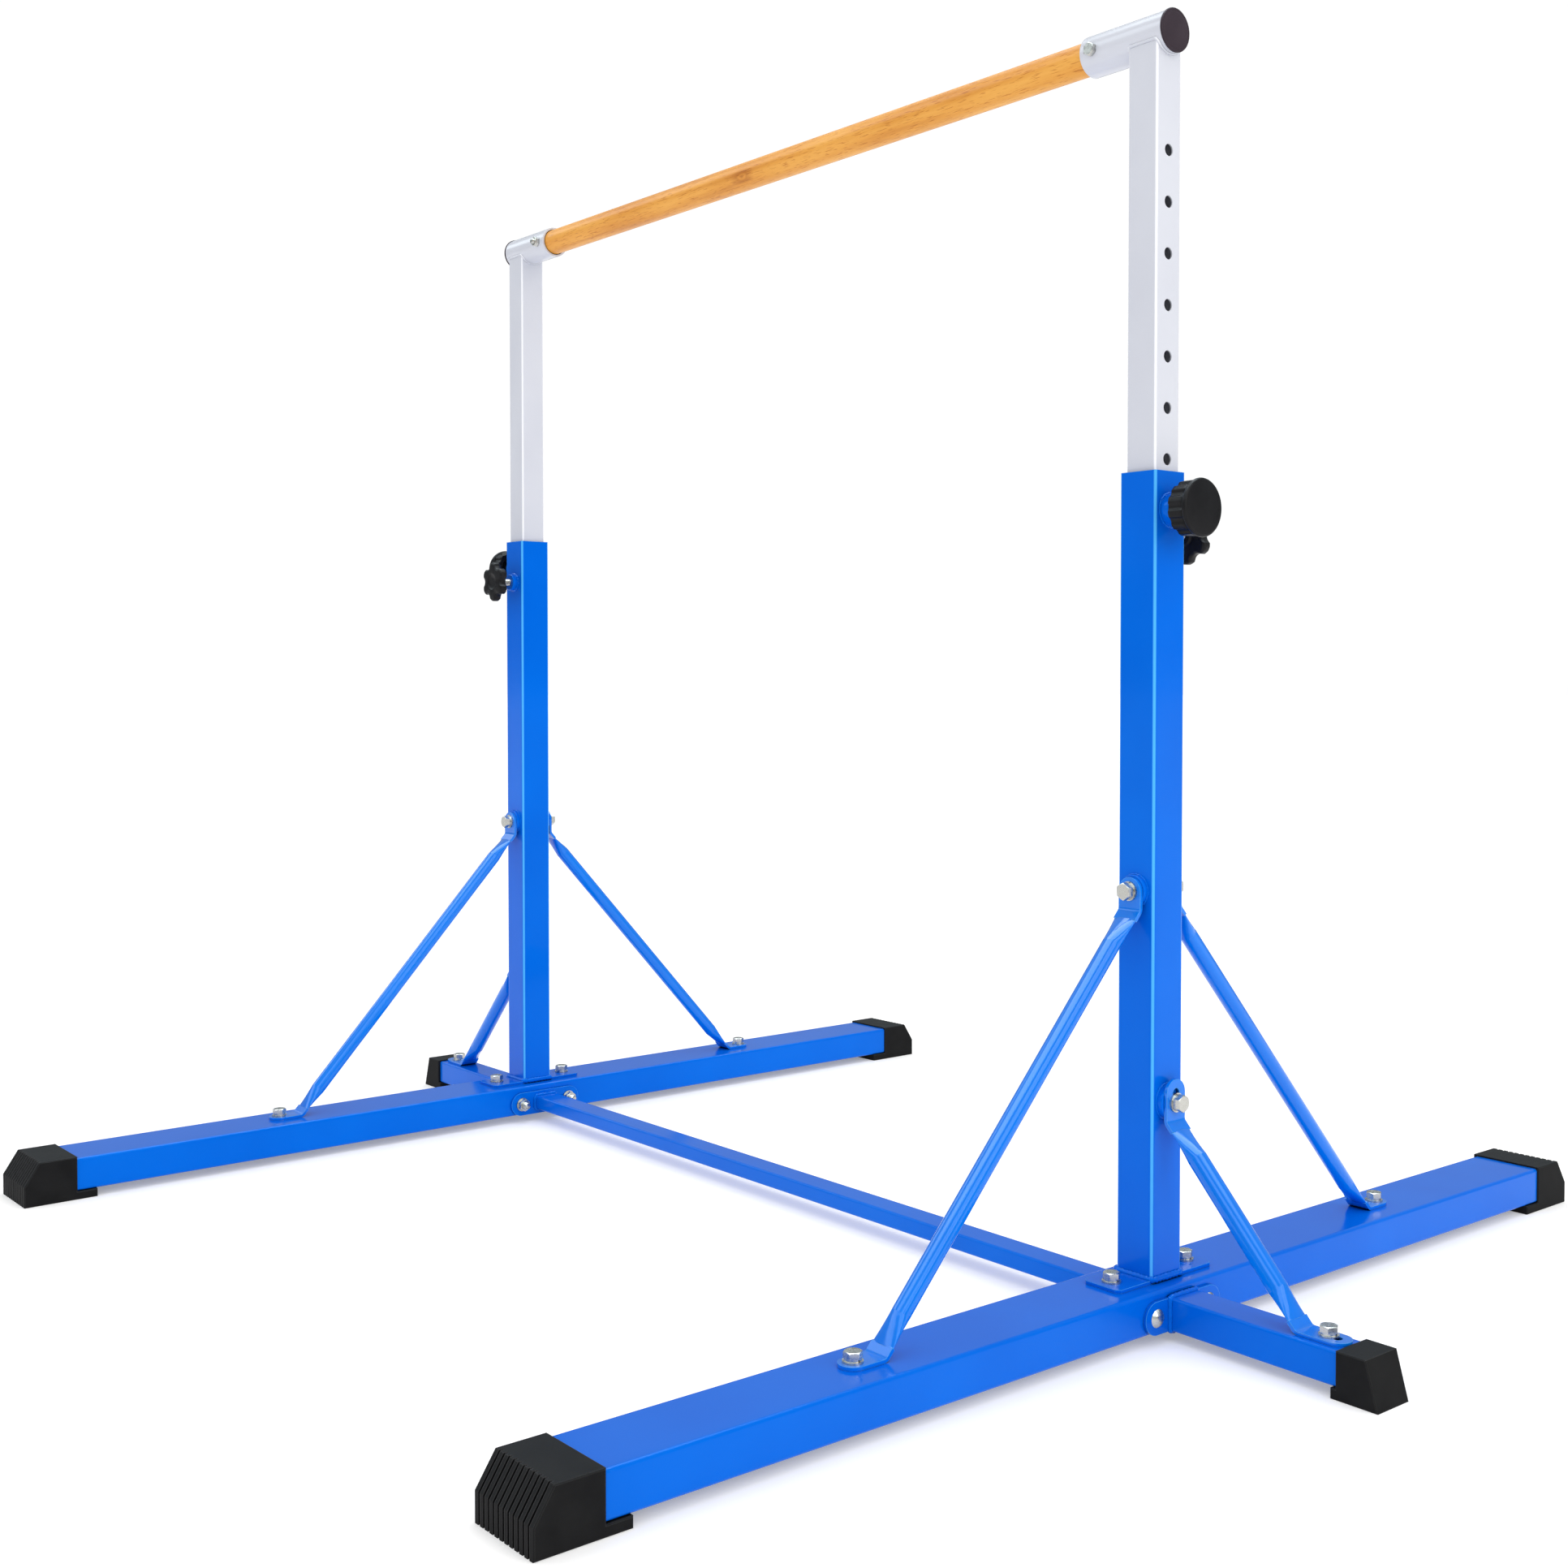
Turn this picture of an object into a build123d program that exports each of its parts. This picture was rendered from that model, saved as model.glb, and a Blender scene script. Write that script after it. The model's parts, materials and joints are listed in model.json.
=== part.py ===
from build123d import *
import math
import os

# A height-adjustable gymnastics kip bar: two upright stands joined by a cross-beam and a wooden bar.
# Millimetres. +Z is up, +X runs along the high bar and +Y along the base beams. The origin is on the
# floor, midway between the stands. Each stand is drawn about its own upright (x = 0 there, +X away
# from the machine's middle) and placed twice, the left one turned half a turn about +Z.

# ---------------------------------------------------------------- driving dimensions
POST_SPACING = 1300.0        # between the centres of the two uprights

BEAM_WIDTH = 90.0            # base beam, along X
BEAM_HEIGHT = 45.0
BEAM_HALF = 740.0            # half its length, along Y
BEAM_BOTTOM = 11.0           # the rubber feet hold it this far off the floor
BEAM_WALL = 2.0
TUBE_CORNER = 4.0            # outer corner radius of the big square and rectangular tubes

FOOT_PROUD = 2.5             # how far a rubber foot stands out from its tube
FOOT_FLAT = 50.0             # flat top beyond the tube's end
FOOT_REACH = 70.0            # whole foot beyond the tube's end
FOOT_FACE = 28.0             # height of its upright end face
FOOT_LIP = 27.0              # pad that runs back under the tube
FOOT_PLUG = 40.0             # spigot inside the tube
FOOT_GROOVES = 11
GROOVE_WIDTH = 3.0
GROOVE_DEPTH = 2.5
FOOT_CHAMFER = 1.2
PLUG_GAP = 0.2               # between a spigot and its tube
PLUG_ROOT = 0.5              # how far a spigot runs into its foot's body

LEG_WIDTH = 46.0             # outrigger leg, along Y
LEG_HEIGHT = 36.0
LEG_END = 258.0              # from the upright's centre
LEG_WALL = 2.0
LEG_CORNER = 3.0
LEG_FOOT_WIDTH = 54.0
LEG_FOOT_TOP = 34.0
LEG_FOOT_FRONT = 14.0        # how far the sloping front runs out at the floor
LEG_FOOT_LIP = 6.0
LEG_FOOT_PLUG = 7.0
LEG_FOOT_PROUD = 2.0
LEG_FOOT_CHAMFER = 1.0

JOIN_Z = 29.0                # height of the outrigger, its flange, the cross-beam and their bolts
FLANGE_LENGTH = 124.0
FLANGE_HEIGHT = 36.0
FLANGE_THICK = 4.0
FLANGE_BOLT_Y = 43.0
CROSS_WIDTH = 38.0
CROSS_HEIGHT = 21.0
CROSS_WALL = 2.0
CROSS_CORNER = 3.0

PLATE_WIDTH = 51.0           # base plate under the upright, along X
PLATE_LENGTH = 158.0
PLATE_THICK = 4.0
PLATE_CHAMFER = 5.0
PLATE_BOLT_Y = 61.0

POST_SIDE = 50.0             # blue upright
POST_WALL = 2.0
POST_TOP = 932.0

INNER_SIDE = 40.0            # sliding inner tube
INNER_WALL = 2.0
INNER_CORNER = 3.0
INNER_BOTTOM = 458.0
HOLE_DIAMETER = 13.0
HOLE_PITCH = 55.0
HOLES_BELOW = 2              # adjusting holes below the one in use
HOLES_ABOVE = 7              # adjusting holes above it

BAR_Z = 1400.0               # axis of the high bar
BAR_DIAMETER = 37.0
BAR_LENGTH = 1250.0
SLEEVE_OUTER = 45.0
SLEEVE_INNER = 39.0
SLEEVE_INWARD = 88.0         # from the upright's centre towards the bar
SLEEVE_OUTWARD = 26.0
CAP_DIAMETER = 47.0
CAP_THICK = 3.0
CAP_PLUG = 12.0
CAP_ROUNDING = 1.8
BAR_CHAMFER = 1.5
COPE_GAP = 0.05              # between the inner tube's coped top and the sleeve
BAR_BOLT_X = -71.0
BAR_BOLT_DIAMETER = 8.0
BAR_BOLT_HOLE = 8.4
BAR_BOLT_FLATS = 13.0
BAR_BOLT_HEAD = 5.5
BAR_BOLT_SPARE = 10.0        # bolt end beyond the sleeve
BAR_NUT_THICK = 6.5

PIN_BELOW_TOP = 42.0         # locking pin, below the upright's top
PIN_DIAMETER = 12.0
PIN_TRAVEL = 6.0             # from withdrawn, as drawn, to locked
PIN_BOSS_DIAMETER = 36.0
PIN_BOSS_LENGTH = 12.0
PIN_KNOB_GAP = 7.0           # between the boss and the withdrawn knob
PIN_KNOB_DIAMETER = 63.0
PIN_KNOB_SKIRT = 20.0
PIN_KNOB_DISC = 6.0
PIN_KNOB_FLUTES = 12
PIN_KNOB_INSET = 1.5         # the skirt's radius is this much under the disc's
PIN_KNOB_ROUNDING = 2.4
FLUTE_RADIUS = 5.0
FLUTE_CENTRE_OUT = 2.6       # flute centres, beyond the skirt's radius
RECESS_RADIUS = 20.0         # ring-shaped recess in the knob's back
RECESS_HUB_RADIUS = 11.0
RECESS_DEPTH = 6.0

SCREW_BELOW_TOP = 66.0       # star-knob clamping screw
SCREW_DIAMETER = 10.0
SCREW_BOSS_DIAMETER = 26.0
SCREW_BOSS_LENGTH = 9.0
STAR_BACK = 28.0             # back of the star, from the upright's face
STAR_THICK = 13.0
STAR_DIAMETER = 62.0
STAR_LOBES = 6
STAR_HUB_DIAMETER = 22.0
STAR_HUB_LENGTH = 4.0
STAR_ROUNDING = 2.5
SCALLOP_RADIUS = 9.0
SCALLOP_CENTRE_OUT = 2.5     # scallop centres, beyond the star's radius
SCALLOP_ROUNDING = 4.0
KNOB_FRONT_SKIN = 4.0        # solid front of a knob, beyond its shaft's socket

SLIDE_CLEARANCE = 0.3        # pin and screw tips to the inner tube
RUNNING_CLEARANCE = 0.1      # radial, shafts in their bosses
TIP_CHAMFER = 1.0
BOSS_ROUNDING = 1.5

BRACE_DIAMETER = 20.0        # the two long braces
BRACE_TOP_Z = 480.0
BRACE_FOOT_Y = 430.0
LEG_BRACE_DIAMETER = 22.0    # the short brace to the outrigger
LEG_BRACE_TOP_Z = 252.0
LEG_BRACE_FOOT_X = 232.0
LEG_BRACE_SLOT = 10.0        # how far its slotted holes run beyond their bolts
TAB_WIDTH = 30.0
TAB_THICK = 4.0
TAB_TOP_DROP = 21.0          # bolt to bend, at the top
TAB_FOOT_RUN = 30.0          # bolt to bend, at the bottom
BEND_RADIUS = 7.0
FLAT_RUN = 12.0              # flat strip between a bend and the flare
FLARE_LENGTH = 34.0          # where the round tube is pressed flat
FLARE_END_DEPTH = 2.4        # half depths of the flare at its flat end and its middle
FLARE_MID_DEPTH = 6.5
FLARE_STEP = 0.1             # the flare's ends are this much inside the strip and the tube
BRACE_BOSS_DIAMETER = 35.0
BRACE_BOSS_LENGTH = 6.0
LEG_BOSS_DIAMETER = 38.0
LEG_BOSS_LENGTH = 8.0

BOLT_DIAMETER = 10.0
BOLT_HOLE = 10.6
BOLT_FLATS = 17.0
BOLT_HEAD = 6.6
NUT_THICK = 8.0
HEX_TURNED = 0.97            # the turned face's radius over the inscribed one
HEX_SLOPE = 30.0             # degrees, of the turned corners
WASHER_DIAMETER = 21.0
WASHER_THICK = 2.0
SPRING_WASHER_DIAMETER = 17.5
SPRING_WASHER_THICK = 2.4
SPRING_WASHER_SPLIT = 1.2
NUT_SPARE = 2.0              # bolt end beyond a weld nut
BOLT_STANDS_OUT = 7.0        # bolt end beyond a flange nut
DOME_DIAMETER = 20.0
DOME_HEIGHT = 5.0
DOME_BOLT_ROUNDING = 1.5
MIN_CORNER = 0.6             # smallest inner corner radius of a tube
CUT_PAST = 1.0               # how far a cut runs beyond the surface it opens

# ---------------------------------------------------------------- worked-out places
HALF_SPACING = POST_SPACING / 2
BEAM_TOP = BEAM_BOTTOM + BEAM_HEIGHT
PLATE_TOP = BEAM_TOP + PLATE_THICK
LEG_BOTTOM = JOIN_Z - LEG_HEIGHT / 2
LEG_TOP = JOIN_Z + LEG_HEIGHT / 2
BEAM_SIDE = BEAM_WIDTH / 2
POST_FACE = POST_SIDE / 2
INNER_FACE = INNER_SIDE / 2
PIN_Z = POST_TOP - PIN_BELOW_TOP
SCREW_Z = POST_TOP - SCREW_BELOW_TOP
SCREW_HOLE = SCREW_DIAMETER + 2 * RUNNING_CLEARANCE
PIN_HOLE = PIN_DIAMETER + 2 * RUNNING_CLEARANCE


# ---------------------------------------------------------------- shapes used again and again
def tube_section(width, height, wall, corner):
    """A rectangular tube's cross-section."""
    outside = RectangleRounded(width, height, corner)
    inside = RectangleRounded(width - 2 * wall, height - 2 * wall, max(corner - wall, MIN_CORNER))
    return outside - inside


def rod(radius, start, end):
    """A plain round bar from one point to another."""
    start = Vector(*start)
    end = Vector(*end)
    plane = Plane(origin=start, z_dir=(end - start).normalized())
    return extrude(plane * Circle(radius), amount=(end - start).length)


def seat(origin, direction):
    """A plane on a surface, facing the way a fastener's head stands."""
    return Plane(origin=origin, z_dir=direction)


def hexagon(plane, flats, height):
    """A hexagon head or nut whose outer corners are turned off."""
    prism = extrude(plane * RegularPolygon(flats / 2, 6, major_radius=False), amount=height)
    top_radius = flats / 2 * HEX_TURNED
    cone_radius = top_radius + height / math.tan(math.radians(HEX_SLOPE))
    cone = plane * Pos(0, 0, height / 2) * Cone(cone_radius, top_radius, height)
    return prism & cone


def washer(plane):
    """A plain washer lying on the plane."""
    ring = Circle(WASHER_DIAMETER / 2) - Circle(BOLT_HOLE / 2)
    return extrude(plane * ring, amount=WASHER_THICK)


def spring_washer(plane):
    """A split spring washer, pressed flat."""
    ring = Circle(SPRING_WASHER_DIAMETER / 2) - Circle(BOLT_HOLE / 2)
    split = Pos(SPRING_WASHER_DIAMETER / 2, 0) * Rectangle(SPRING_WASHER_DIAMETER, SPRING_WASHER_SPLIT)
    return extrude(plane * (ring - split), amount=SPRING_WASHER_THICK)


def hex_bolt(plane, grip):
    """A hexagon bolt: its head stands on the plane and its shank runs back through it."""
    head = hexagon(plane, BOLT_FLATS, BOLT_HEAD)
    shank = extrude(plane * Circle(BOLT_DIAMETER / 2), amount=-grip)
    return head + shank


def nut(plane):
    """A hexagon nut with a plain bore that fits its bolt."""
    bore = extrude(plane * Circle(BOLT_DIAMETER / 2), amount=NUT_THICK)
    return hexagon(plane, BOLT_FLATS, NUT_THICK) - bore


def dome_bolt(plane, grip):
    """A round-headed coach bolt: a shallow dome on the plane and a shank back through it."""
    radius = DOME_DIAMETER / 2
    ball_radius = (radius ** 2 + DOME_HEIGHT ** 2) / (2 * DOME_HEIGHT)
    ball = plane * Pos(0, 0, DOME_HEIGHT - ball_radius) * Sphere(ball_radius)
    head = ball & extrude(plane * Circle(radius), amount=DOME_HEIGHT)
    shank = extrude(plane * Circle(BOLT_DIAMETER / 2), amount=-grip)
    rounded_end = fillet(shank.faces().sort_by(plane_axis(plane))[0].edges(), DOME_BOLT_ROUNDING)
    return head + rounded_end


def plane_axis(plane):
    """The axis along a plane's normal, for sorting faces."""
    return Axis(plane.origin, plane.z_dir)


# ---------------------------------------------------------------- base
def base_beam():
    """The long floor beam, drilled for the plate, flange and brace bolts."""
    section = tube_section(BEAM_WIDTH, BEAM_HEIGHT, BEAM_WALL, TUBE_CORNER)
    middle = Plane(origin=(0, 0, BEAM_BOTTOM + BEAM_HEIGHT / 2), x_dir=(1, 0, 0), z_dir=(0, -1, 0))
    beam = extrude(middle * section, amount=BEAM_HALF, both=True)
    for side in (-1, 1):
        for y in (side * PLATE_BOLT_Y, side * BRACE_FOOT_Y):
            beam -= rod(BOLT_HOLE / 2, (0, y, BEAM_TOP - 2 * BEAM_WALL), (0, y, BEAM_TOP + CUT_PAST))
        y = side * FLANGE_BOLT_Y
        through = BEAM_SIDE + CUT_PAST
        beam -= rod(BOLT_HOLE / 2, (-through, y, JOIN_Z), (through, y, JOIN_Z))
    return beam


def beam_foot():
    """The ribbed rubber foot on the beam's +Y end."""
    top = BEAM_TOP + FOOT_PROUD
    slope_y = BEAM_HALF + FOOT_FLAT
    end_y = BEAM_HALF + FOOT_REACH
    outline = Polyline(
        (BEAM_HALF - FOOT_LIP, 0),
        (end_y, 0),
        (end_y, FOOT_FACE),
        (slope_y, top),
        (BEAM_HALF, top),
        (BEAM_HALF, BEAM_BOTTOM),
        (BEAM_HALF - FOOT_LIP, BEAM_BOTTOM),
        close=True,
    )
    side_view = make_face(Plane.YZ * outline)
    width = BEAM_WIDTH + 2 * FOOT_PROUD
    body = extrude(side_view, amount=width / 2, both=True)
    body = chamfer(body.faces().sort_by(Axis.X)[0].edges(), FOOT_CHAMFER)
    body = chamfer(body.faces().sort_by(Axis.X)[-1].edges(), FOOT_CHAMFER)
    run = end_y - slope_y
    fall = top - FOOT_FACE
    length = math.hypot(run, fall)
    back_set = GROOVE_DEPTH * (fall / length + run / length * run / fall)
    knee_drop = GROOVE_DEPTH * (length - run) / fall
    groove = Polyline(
        (slope_y - back_set, top),
        (end_y - GROOVE_DEPTH, FOOT_FACE - knee_drop),
        (end_y - GROOVE_DEPTH, -CUT_PAST),
        (end_y + CUT_PAST, -CUT_PAST),
        (end_y + CUT_PAST, top),
        close=True,
    )
    pitch = width / (FOOT_GROOVES + 1)
    for number in range(FOOT_GROOVES):
        x = (number + 1) * pitch - width / 2
        body -= extrude(Pos(x, 0, 0) * make_face(Plane.YZ * groove), amount=GROOVE_WIDTH / 2, both=True)
    inset = 2 * (BEAM_WALL + PLUG_GAP)
    plug_y = BEAM_HALF + PLUG_ROOT - FOOT_PLUG / 2
    plug = Box(BEAM_WIDTH - inset, FOOT_PLUG, BEAM_HEIGHT - inset)
    plug = Pos(0, plug_y, BEAM_BOTTOM + BEAM_HEIGHT / 2) * plug
    plug = chamfer(plug.edges().filter_by(Axis.Y), TUBE_CORNER - BEAM_WALL)
    return body + plug


def outrigger_tube():
    """The short leg that points away from the machine."""
    section = tube_section(LEG_WIDTH, LEG_HEIGHT, LEG_WALL, LEG_CORNER)
    start = BEAM_SIDE + FLANGE_THICK
    leg = extrude(Plane.YZ.offset(start) * Pos(0, JOIN_Z) * section, amount=LEG_END - start)
    x = LEG_BRACE_FOOT_X
    return leg - rod(BOLT_HOLE / 2, (x, 0, LEG_TOP - 2 * LEG_WALL), (x, 0, LEG_TOP + CUT_PAST))


def outrigger_foot():
    """The smooth wedge-fronted foot on the outrigger's end."""
    top = LEG_TOP + LEG_FOOT_PROUD
    outline = Polyline(
        (LEG_END - LEG_FOOT_LIP, 0),
        (LEG_END + LEG_FOOT_TOP + LEG_FOOT_FRONT, 0),
        (LEG_END + LEG_FOOT_TOP, top),
        (LEG_END, top),
        (LEG_END, LEG_BOTTOM),
        (LEG_END - LEG_FOOT_LIP, LEG_BOTTOM),
        close=True,
    )
    body = extrude(make_face(Plane.XZ * outline), amount=LEG_FOOT_WIDTH / 2, both=True)
    body = chamfer(body.faces().sort_by(Axis.Y)[0].edges(), LEG_FOOT_CHAMFER)
    body = chamfer(body.faces().sort_by(Axis.Y)[-1].edges(), LEG_FOOT_CHAMFER)
    inset = 2 * (LEG_WALL + PLUG_GAP)
    plug = Box(LEG_FOOT_PLUG, LEG_WIDTH - inset, LEG_HEIGHT - inset)
    plug = Pos(LEG_END + PLUG_ROOT - LEG_FOOT_PLUG / 2, 0, JOIN_Z) * plug
    plug = chamfer(plug.edges().filter_by(Axis.X), LEG_CORNER / 2)
    return body + plug


def flange():
    """A round-ended joining plate lying in YZ, its back on x = 0 and drilled for its two bolts."""
    outline = Pos(0, JOIN_Z) * SlotOverall(FLANGE_LENGTH, FLANGE_HEIGHT)
    plate = extrude(Plane.YZ * outline, amount=FLANGE_THICK)
    for side in (-1, 1):
        y = side * FLANGE_BOLT_Y
        plate -= rod(BOLT_HOLE / 2, (-CUT_PAST, y, JOIN_Z), (FLANGE_THICK + CUT_PAST, y, JOIN_Z))
    return plate


def crossbeam_tube():
    """The low beam between the stands, from flange to flange, in the machine's own place."""
    section = tube_section(CROSS_WIDTH, CROSS_HEIGHT, CROSS_WALL, CROSS_CORNER)
    half = HALF_SPACING - BEAM_SIDE - FLANGE_THICK
    return extrude(Plane.YZ * Pos(0, JOIN_Z) * section, amount=half, both=True)


# ---------------------------------------------------------------- uprights
def base_plate():
    """The welded plate that bolts the upright to the beam."""
    blank = Rectangle(PLATE_WIDTH, PLATE_LENGTH)
    blank = chamfer(blank.vertices(), PLATE_CHAMFER)
    plate = extrude(Plane.XY.offset(BEAM_TOP) * blank, amount=PLATE_THICK)
    for side in (-1, 1):
        y = side * PLATE_BOLT_Y
        plate -= rod(BOLT_HOLE / 2, (0, y, BEAM_TOP - CUT_PAST), (0, y, PLATE_TOP + CUT_PAST))
    return plate


def upright_tube():
    """The fixed square post, with holes behind each welded boss."""
    section = tube_section(POST_SIDE, POST_SIDE, POST_WALL, TUBE_CORNER)
    post = extrude(Plane.XY.offset(PLATE_TOP) * section, amount=POST_TOP - PLATE_TOP)
    outside = POST_FACE + CUT_PAST
    post -= rod(PIN_HOLE / 2, (INNER_FACE, 0, PIN_Z), (outside, 0, PIN_Z))
    post -= rod(SCREW_HOLE / 2, (0, INNER_FACE, SCREW_Z), (0, outside, SCREW_Z))
    post -= rod(BOLT_HOLE / 2, (0, -outside, BRACE_TOP_Z), (0, outside, BRACE_TOP_Z))
    return post - rod(BOLT_HOLE / 2, (INNER_FACE, 0, LEG_BRACE_TOP_Z), (outside, 0, LEG_BRACE_TOP_Z))


def boss(plane, diameter, length, bore):
    """A round welded boss standing on a plane, with a plain bore and a rounded rim."""
    body = extrude(plane * Circle(diameter / 2), amount=length)
    body = fillet(body.faces().sort_by(plane_axis(plane))[-1].edges(), BOSS_ROUNDING)
    return body - extrude(plane * Circle(bore / 2), amount=length + CUT_PAST)


def pin_boss():
    """The boss on the upright's outer face that guides the locking pin."""
    plane = seat((POST_FACE, 0, PIN_Z), (1, 0, 0))
    return boss(plane, PIN_BOSS_DIAMETER, PIN_BOSS_LENGTH, PIN_HOLE)


def screw_boss():
    """The threaded boss, drawn with a plain bore, that carries the clamping screw."""
    plane = seat((0, POST_FACE, SCREW_Z), (0, 1, 0))
    return boss(plane, SCREW_BOSS_DIAMETER, SCREW_BOSS_LENGTH, SCREW_HOLE)


def brace_bosses():
    """Three bosses: two for the long braces and one for the outrigger's brace."""
    bosses = []
    for side in (-1, 1):
        plane = seat((0, side * POST_FACE, BRACE_TOP_Z), (0, side, 0))
        bosses.append(boss(plane, BRACE_BOSS_DIAMETER, BRACE_BOSS_LENGTH, BOLT_DIAMETER))
    plane = seat((POST_FACE, 0, LEG_BRACE_TOP_Z), (1, 0, 0))
    bosses.append(boss(plane, LEG_BOSS_DIAMETER, LEG_BOSS_LENGTH, BOLT_DIAMETER))
    return bosses


# ---------------------------------------------------------------- braces
def strap(points, start_normal):
    """A flat strip swept along a bent path that lies in XZ."""
    path = FilletPolyline(*points, radius=BEND_RADIUS)
    start = Plane(origin=points[0], x_dir=(0, 1, 0), z_dir=start_normal)
    return sweep(start * Rectangle(TAB_WIDTH, TAB_THICK), path=path)


def flare(flat_point, round_point, along, diameter):
    """The stretch where the round tube is pressed out to the flat strip."""
    stations = (
        (flat_point, TAB_WIDTH / 2 - FLARE_STEP, FLARE_END_DEPTH),
        ((flat_point + round_point) / 2, (TAB_WIDTH + diameter) / 4, FLARE_MID_DEPTH),
        (round_point, diameter / 2 - FLARE_STEP, diameter / 2 - FLARE_STEP / 2),
    )
    sections = [
        Plane(origin=point, x_dir=(0, 1, 0), z_dir=along) * Ellipse(half_width, half_depth)
        for point, half_width, half_depth in stations
    ]
    return loft(sections)


def brace(face, top_z, floor_z, foot, diameter, slot):
    """A round tube pressed flat and bent at both ends, drawn in XZ.

    face is the surface that the upright tab lies on and floor_z the one under the level tab. foot
    is the lower bolt's distance from the upright's centre. slot is how far each tab's hole runs
    beyond its bolt, with the tab's rounded end around it.
    """
    half = TAB_THICK / 2
    upper = Vector(face + half, 0, top_z - TAB_TOP_DROP)
    lower = Vector(foot - TAB_FOOT_RUN, 0, floor_z + half)
    along = (lower - upper).normalized()
    flat_top = upper + along * FLAT_RUN
    flat_low = lower - along * FLAT_RUN
    round_top = flat_top + along * FLARE_LENGTH
    round_low = flat_low - along * FLARE_LENGTH
    end_top = Vector(face + half, 0, top_z + slot)
    end_low = Vector(foot + slot, 0, floor_z + half)
    body = rod(diameter / 2, round_top, round_low)
    body += flare(flat_top, round_top, along, diameter)
    body += flare(flat_low, round_low, along * -1, diameter)
    body += strap([end_top, upper, flat_top + along], (0, 0, -1))
    body += strap([end_low, lower, flat_low - along], (-1, 0, 0))
    upright_tab = Plane(origin=(face, 0, top_z + slot / 2), x_dir=(0, 0, 1), z_dir=(1, 0, 0))
    level_tab = Plane(origin=(foot + slot / 2, 0, floor_z), x_dir=(1, 0, 0), z_dir=(0, 0, 1))
    for tab in (upright_tab, level_tab):
        rounded_end = tab * Pos(slot / 2, 0) * Circle(TAB_WIDTH / 2)
        body += extrude(rounded_end, amount=TAB_THICK)
        hole = SlotOverall(BOLT_HOLE + slot, BOLT_HOLE) if slot else Circle(BOLT_HOLE / 2)
        body -= extrude(tab * hole, amount=TAB_THICK)
    return body


def long_brace():
    """The brace from the upright's +Y face down to the beam."""
    face = POST_FACE + BRACE_BOSS_LENGTH
    return Rot(0, 0, 90) * brace(face, BRACE_TOP_Z, BEAM_TOP, BRACE_FOOT_Y, BRACE_DIAMETER, 0)


def outrigger_brace():
    """The brace from the upright's outer face down to the outrigger, with slotted holes."""
    face = POST_FACE + LEG_BOSS_LENGTH
    return brace(face, LEG_BRACE_TOP_Z, LEG_TOP, LEG_BRACE_FOOT_X, LEG_BRACE_DIAMETER, LEG_BRACE_SLOT)


# ---------------------------------------------------------------- the part that slides up and down
def inner_tube():
    """The sliding square tube: a row of holes in its outer wall and a top coped to the sleeve."""
    section = tube_section(INNER_SIDE, INNER_SIDE, INNER_WALL, INNER_CORNER)
    tube = extrude(Plane.XY.offset(INNER_BOTTOM) * section, amount=BAR_Z - INNER_BOTTOM)
    tube -= rod(SLEEVE_OUTER / 2 + COPE_GAP, (-INNER_SIDE, 0, BAR_Z), (INNER_SIDE, 0, BAR_Z))
    for number in range(-HOLES_BELOW, HOLES_ABOVE + 1):
        z = PIN_Z + number * HOLE_PITCH
        tube -= rod(HOLE_DIAMETER / 2, (0, 0, z), (INNER_SIDE, 0, z))
    return tube


def bar_sleeve():
    """The round sleeve across the inner tube's top that holds one end of the bar."""
    section = Circle(SLEEVE_OUTER / 2) - Circle(SLEEVE_INNER / 2)
    inner_end = Plane.YZ.offset(-SLEEVE_INWARD) * Pos(0, BAR_Z)
    sleeve = extrude(inner_end * section, amount=SLEEVE_INWARD + SLEEVE_OUTWARD)
    return sleeve - bar_bolt_hole(BAR_BOLT_X)


def bar_bolt_hole(x):
    """The cut for the bar's bolt, right through along Y."""
    return rod(BAR_BOLT_HOLE / 2, (x, -SLEEVE_OUTER, BAR_Z), (x, SLEEVE_OUTER, BAR_Z))


def sleeve_cap():
    """The push-in plastic cap on the sleeve's outer end."""
    disc_plane = Plane.YZ.offset(SLEEVE_OUTWARD)
    disc = extrude(disc_plane * Pos(0, BAR_Z) * Circle(CAP_DIAMETER / 2), amount=CAP_THICK)
    disc = fillet(disc.faces().sort_by(Axis.X)[-1].edges(), CAP_ROUNDING)
    plug = extrude(disc_plane * Pos(0, BAR_Z) * Circle(SLEEVE_INNER / 2 - PLUG_GAP), amount=-CAP_PLUG)
    return disc + plug


def wood_bar():
    """The round wooden bar, drilled at both ends for its bolts, in the machine's own place."""
    bar = extrude(Plane.YZ * Pos(0, BAR_Z) * Circle(BAR_DIAMETER / 2), amount=BAR_LENGTH / 2, both=True)
    bar = chamfer(bar.edges().filter_by(GeomType.CIRCLE), BAR_CHAMFER)
    x = HALF_SPACING + BAR_BOLT_X
    for side in (-1, 1):
        bar -= bar_bolt_hole(side * x)
    return bar


def bar_bolt():
    """The bolt through sleeve and bar, its head towards -Y."""
    plane = seat((BAR_BOLT_X, -SLEEVE_OUTER / 2, BAR_Z), (0, -1, 0))
    shank = extrude(plane * Circle(BAR_BOLT_DIAMETER / 2), amount=-(SLEEVE_OUTER + BAR_BOLT_SPARE))
    return hexagon(plane, BAR_BOLT_FLATS, BAR_BOLT_HEAD) + shank


def bar_nut():
    """The nut on the bar bolt's +Y end."""
    plane = seat((BAR_BOLT_X, SLEEVE_OUTER / 2, BAR_Z), (0, 1, 0))
    bore = extrude(plane * Circle(BAR_BOLT_DIAMETER / 2), amount=BAR_NUT_THICK)
    return hexagon(plane, BAR_BOLT_FLATS, BAR_NUT_THICK) - bore


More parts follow.
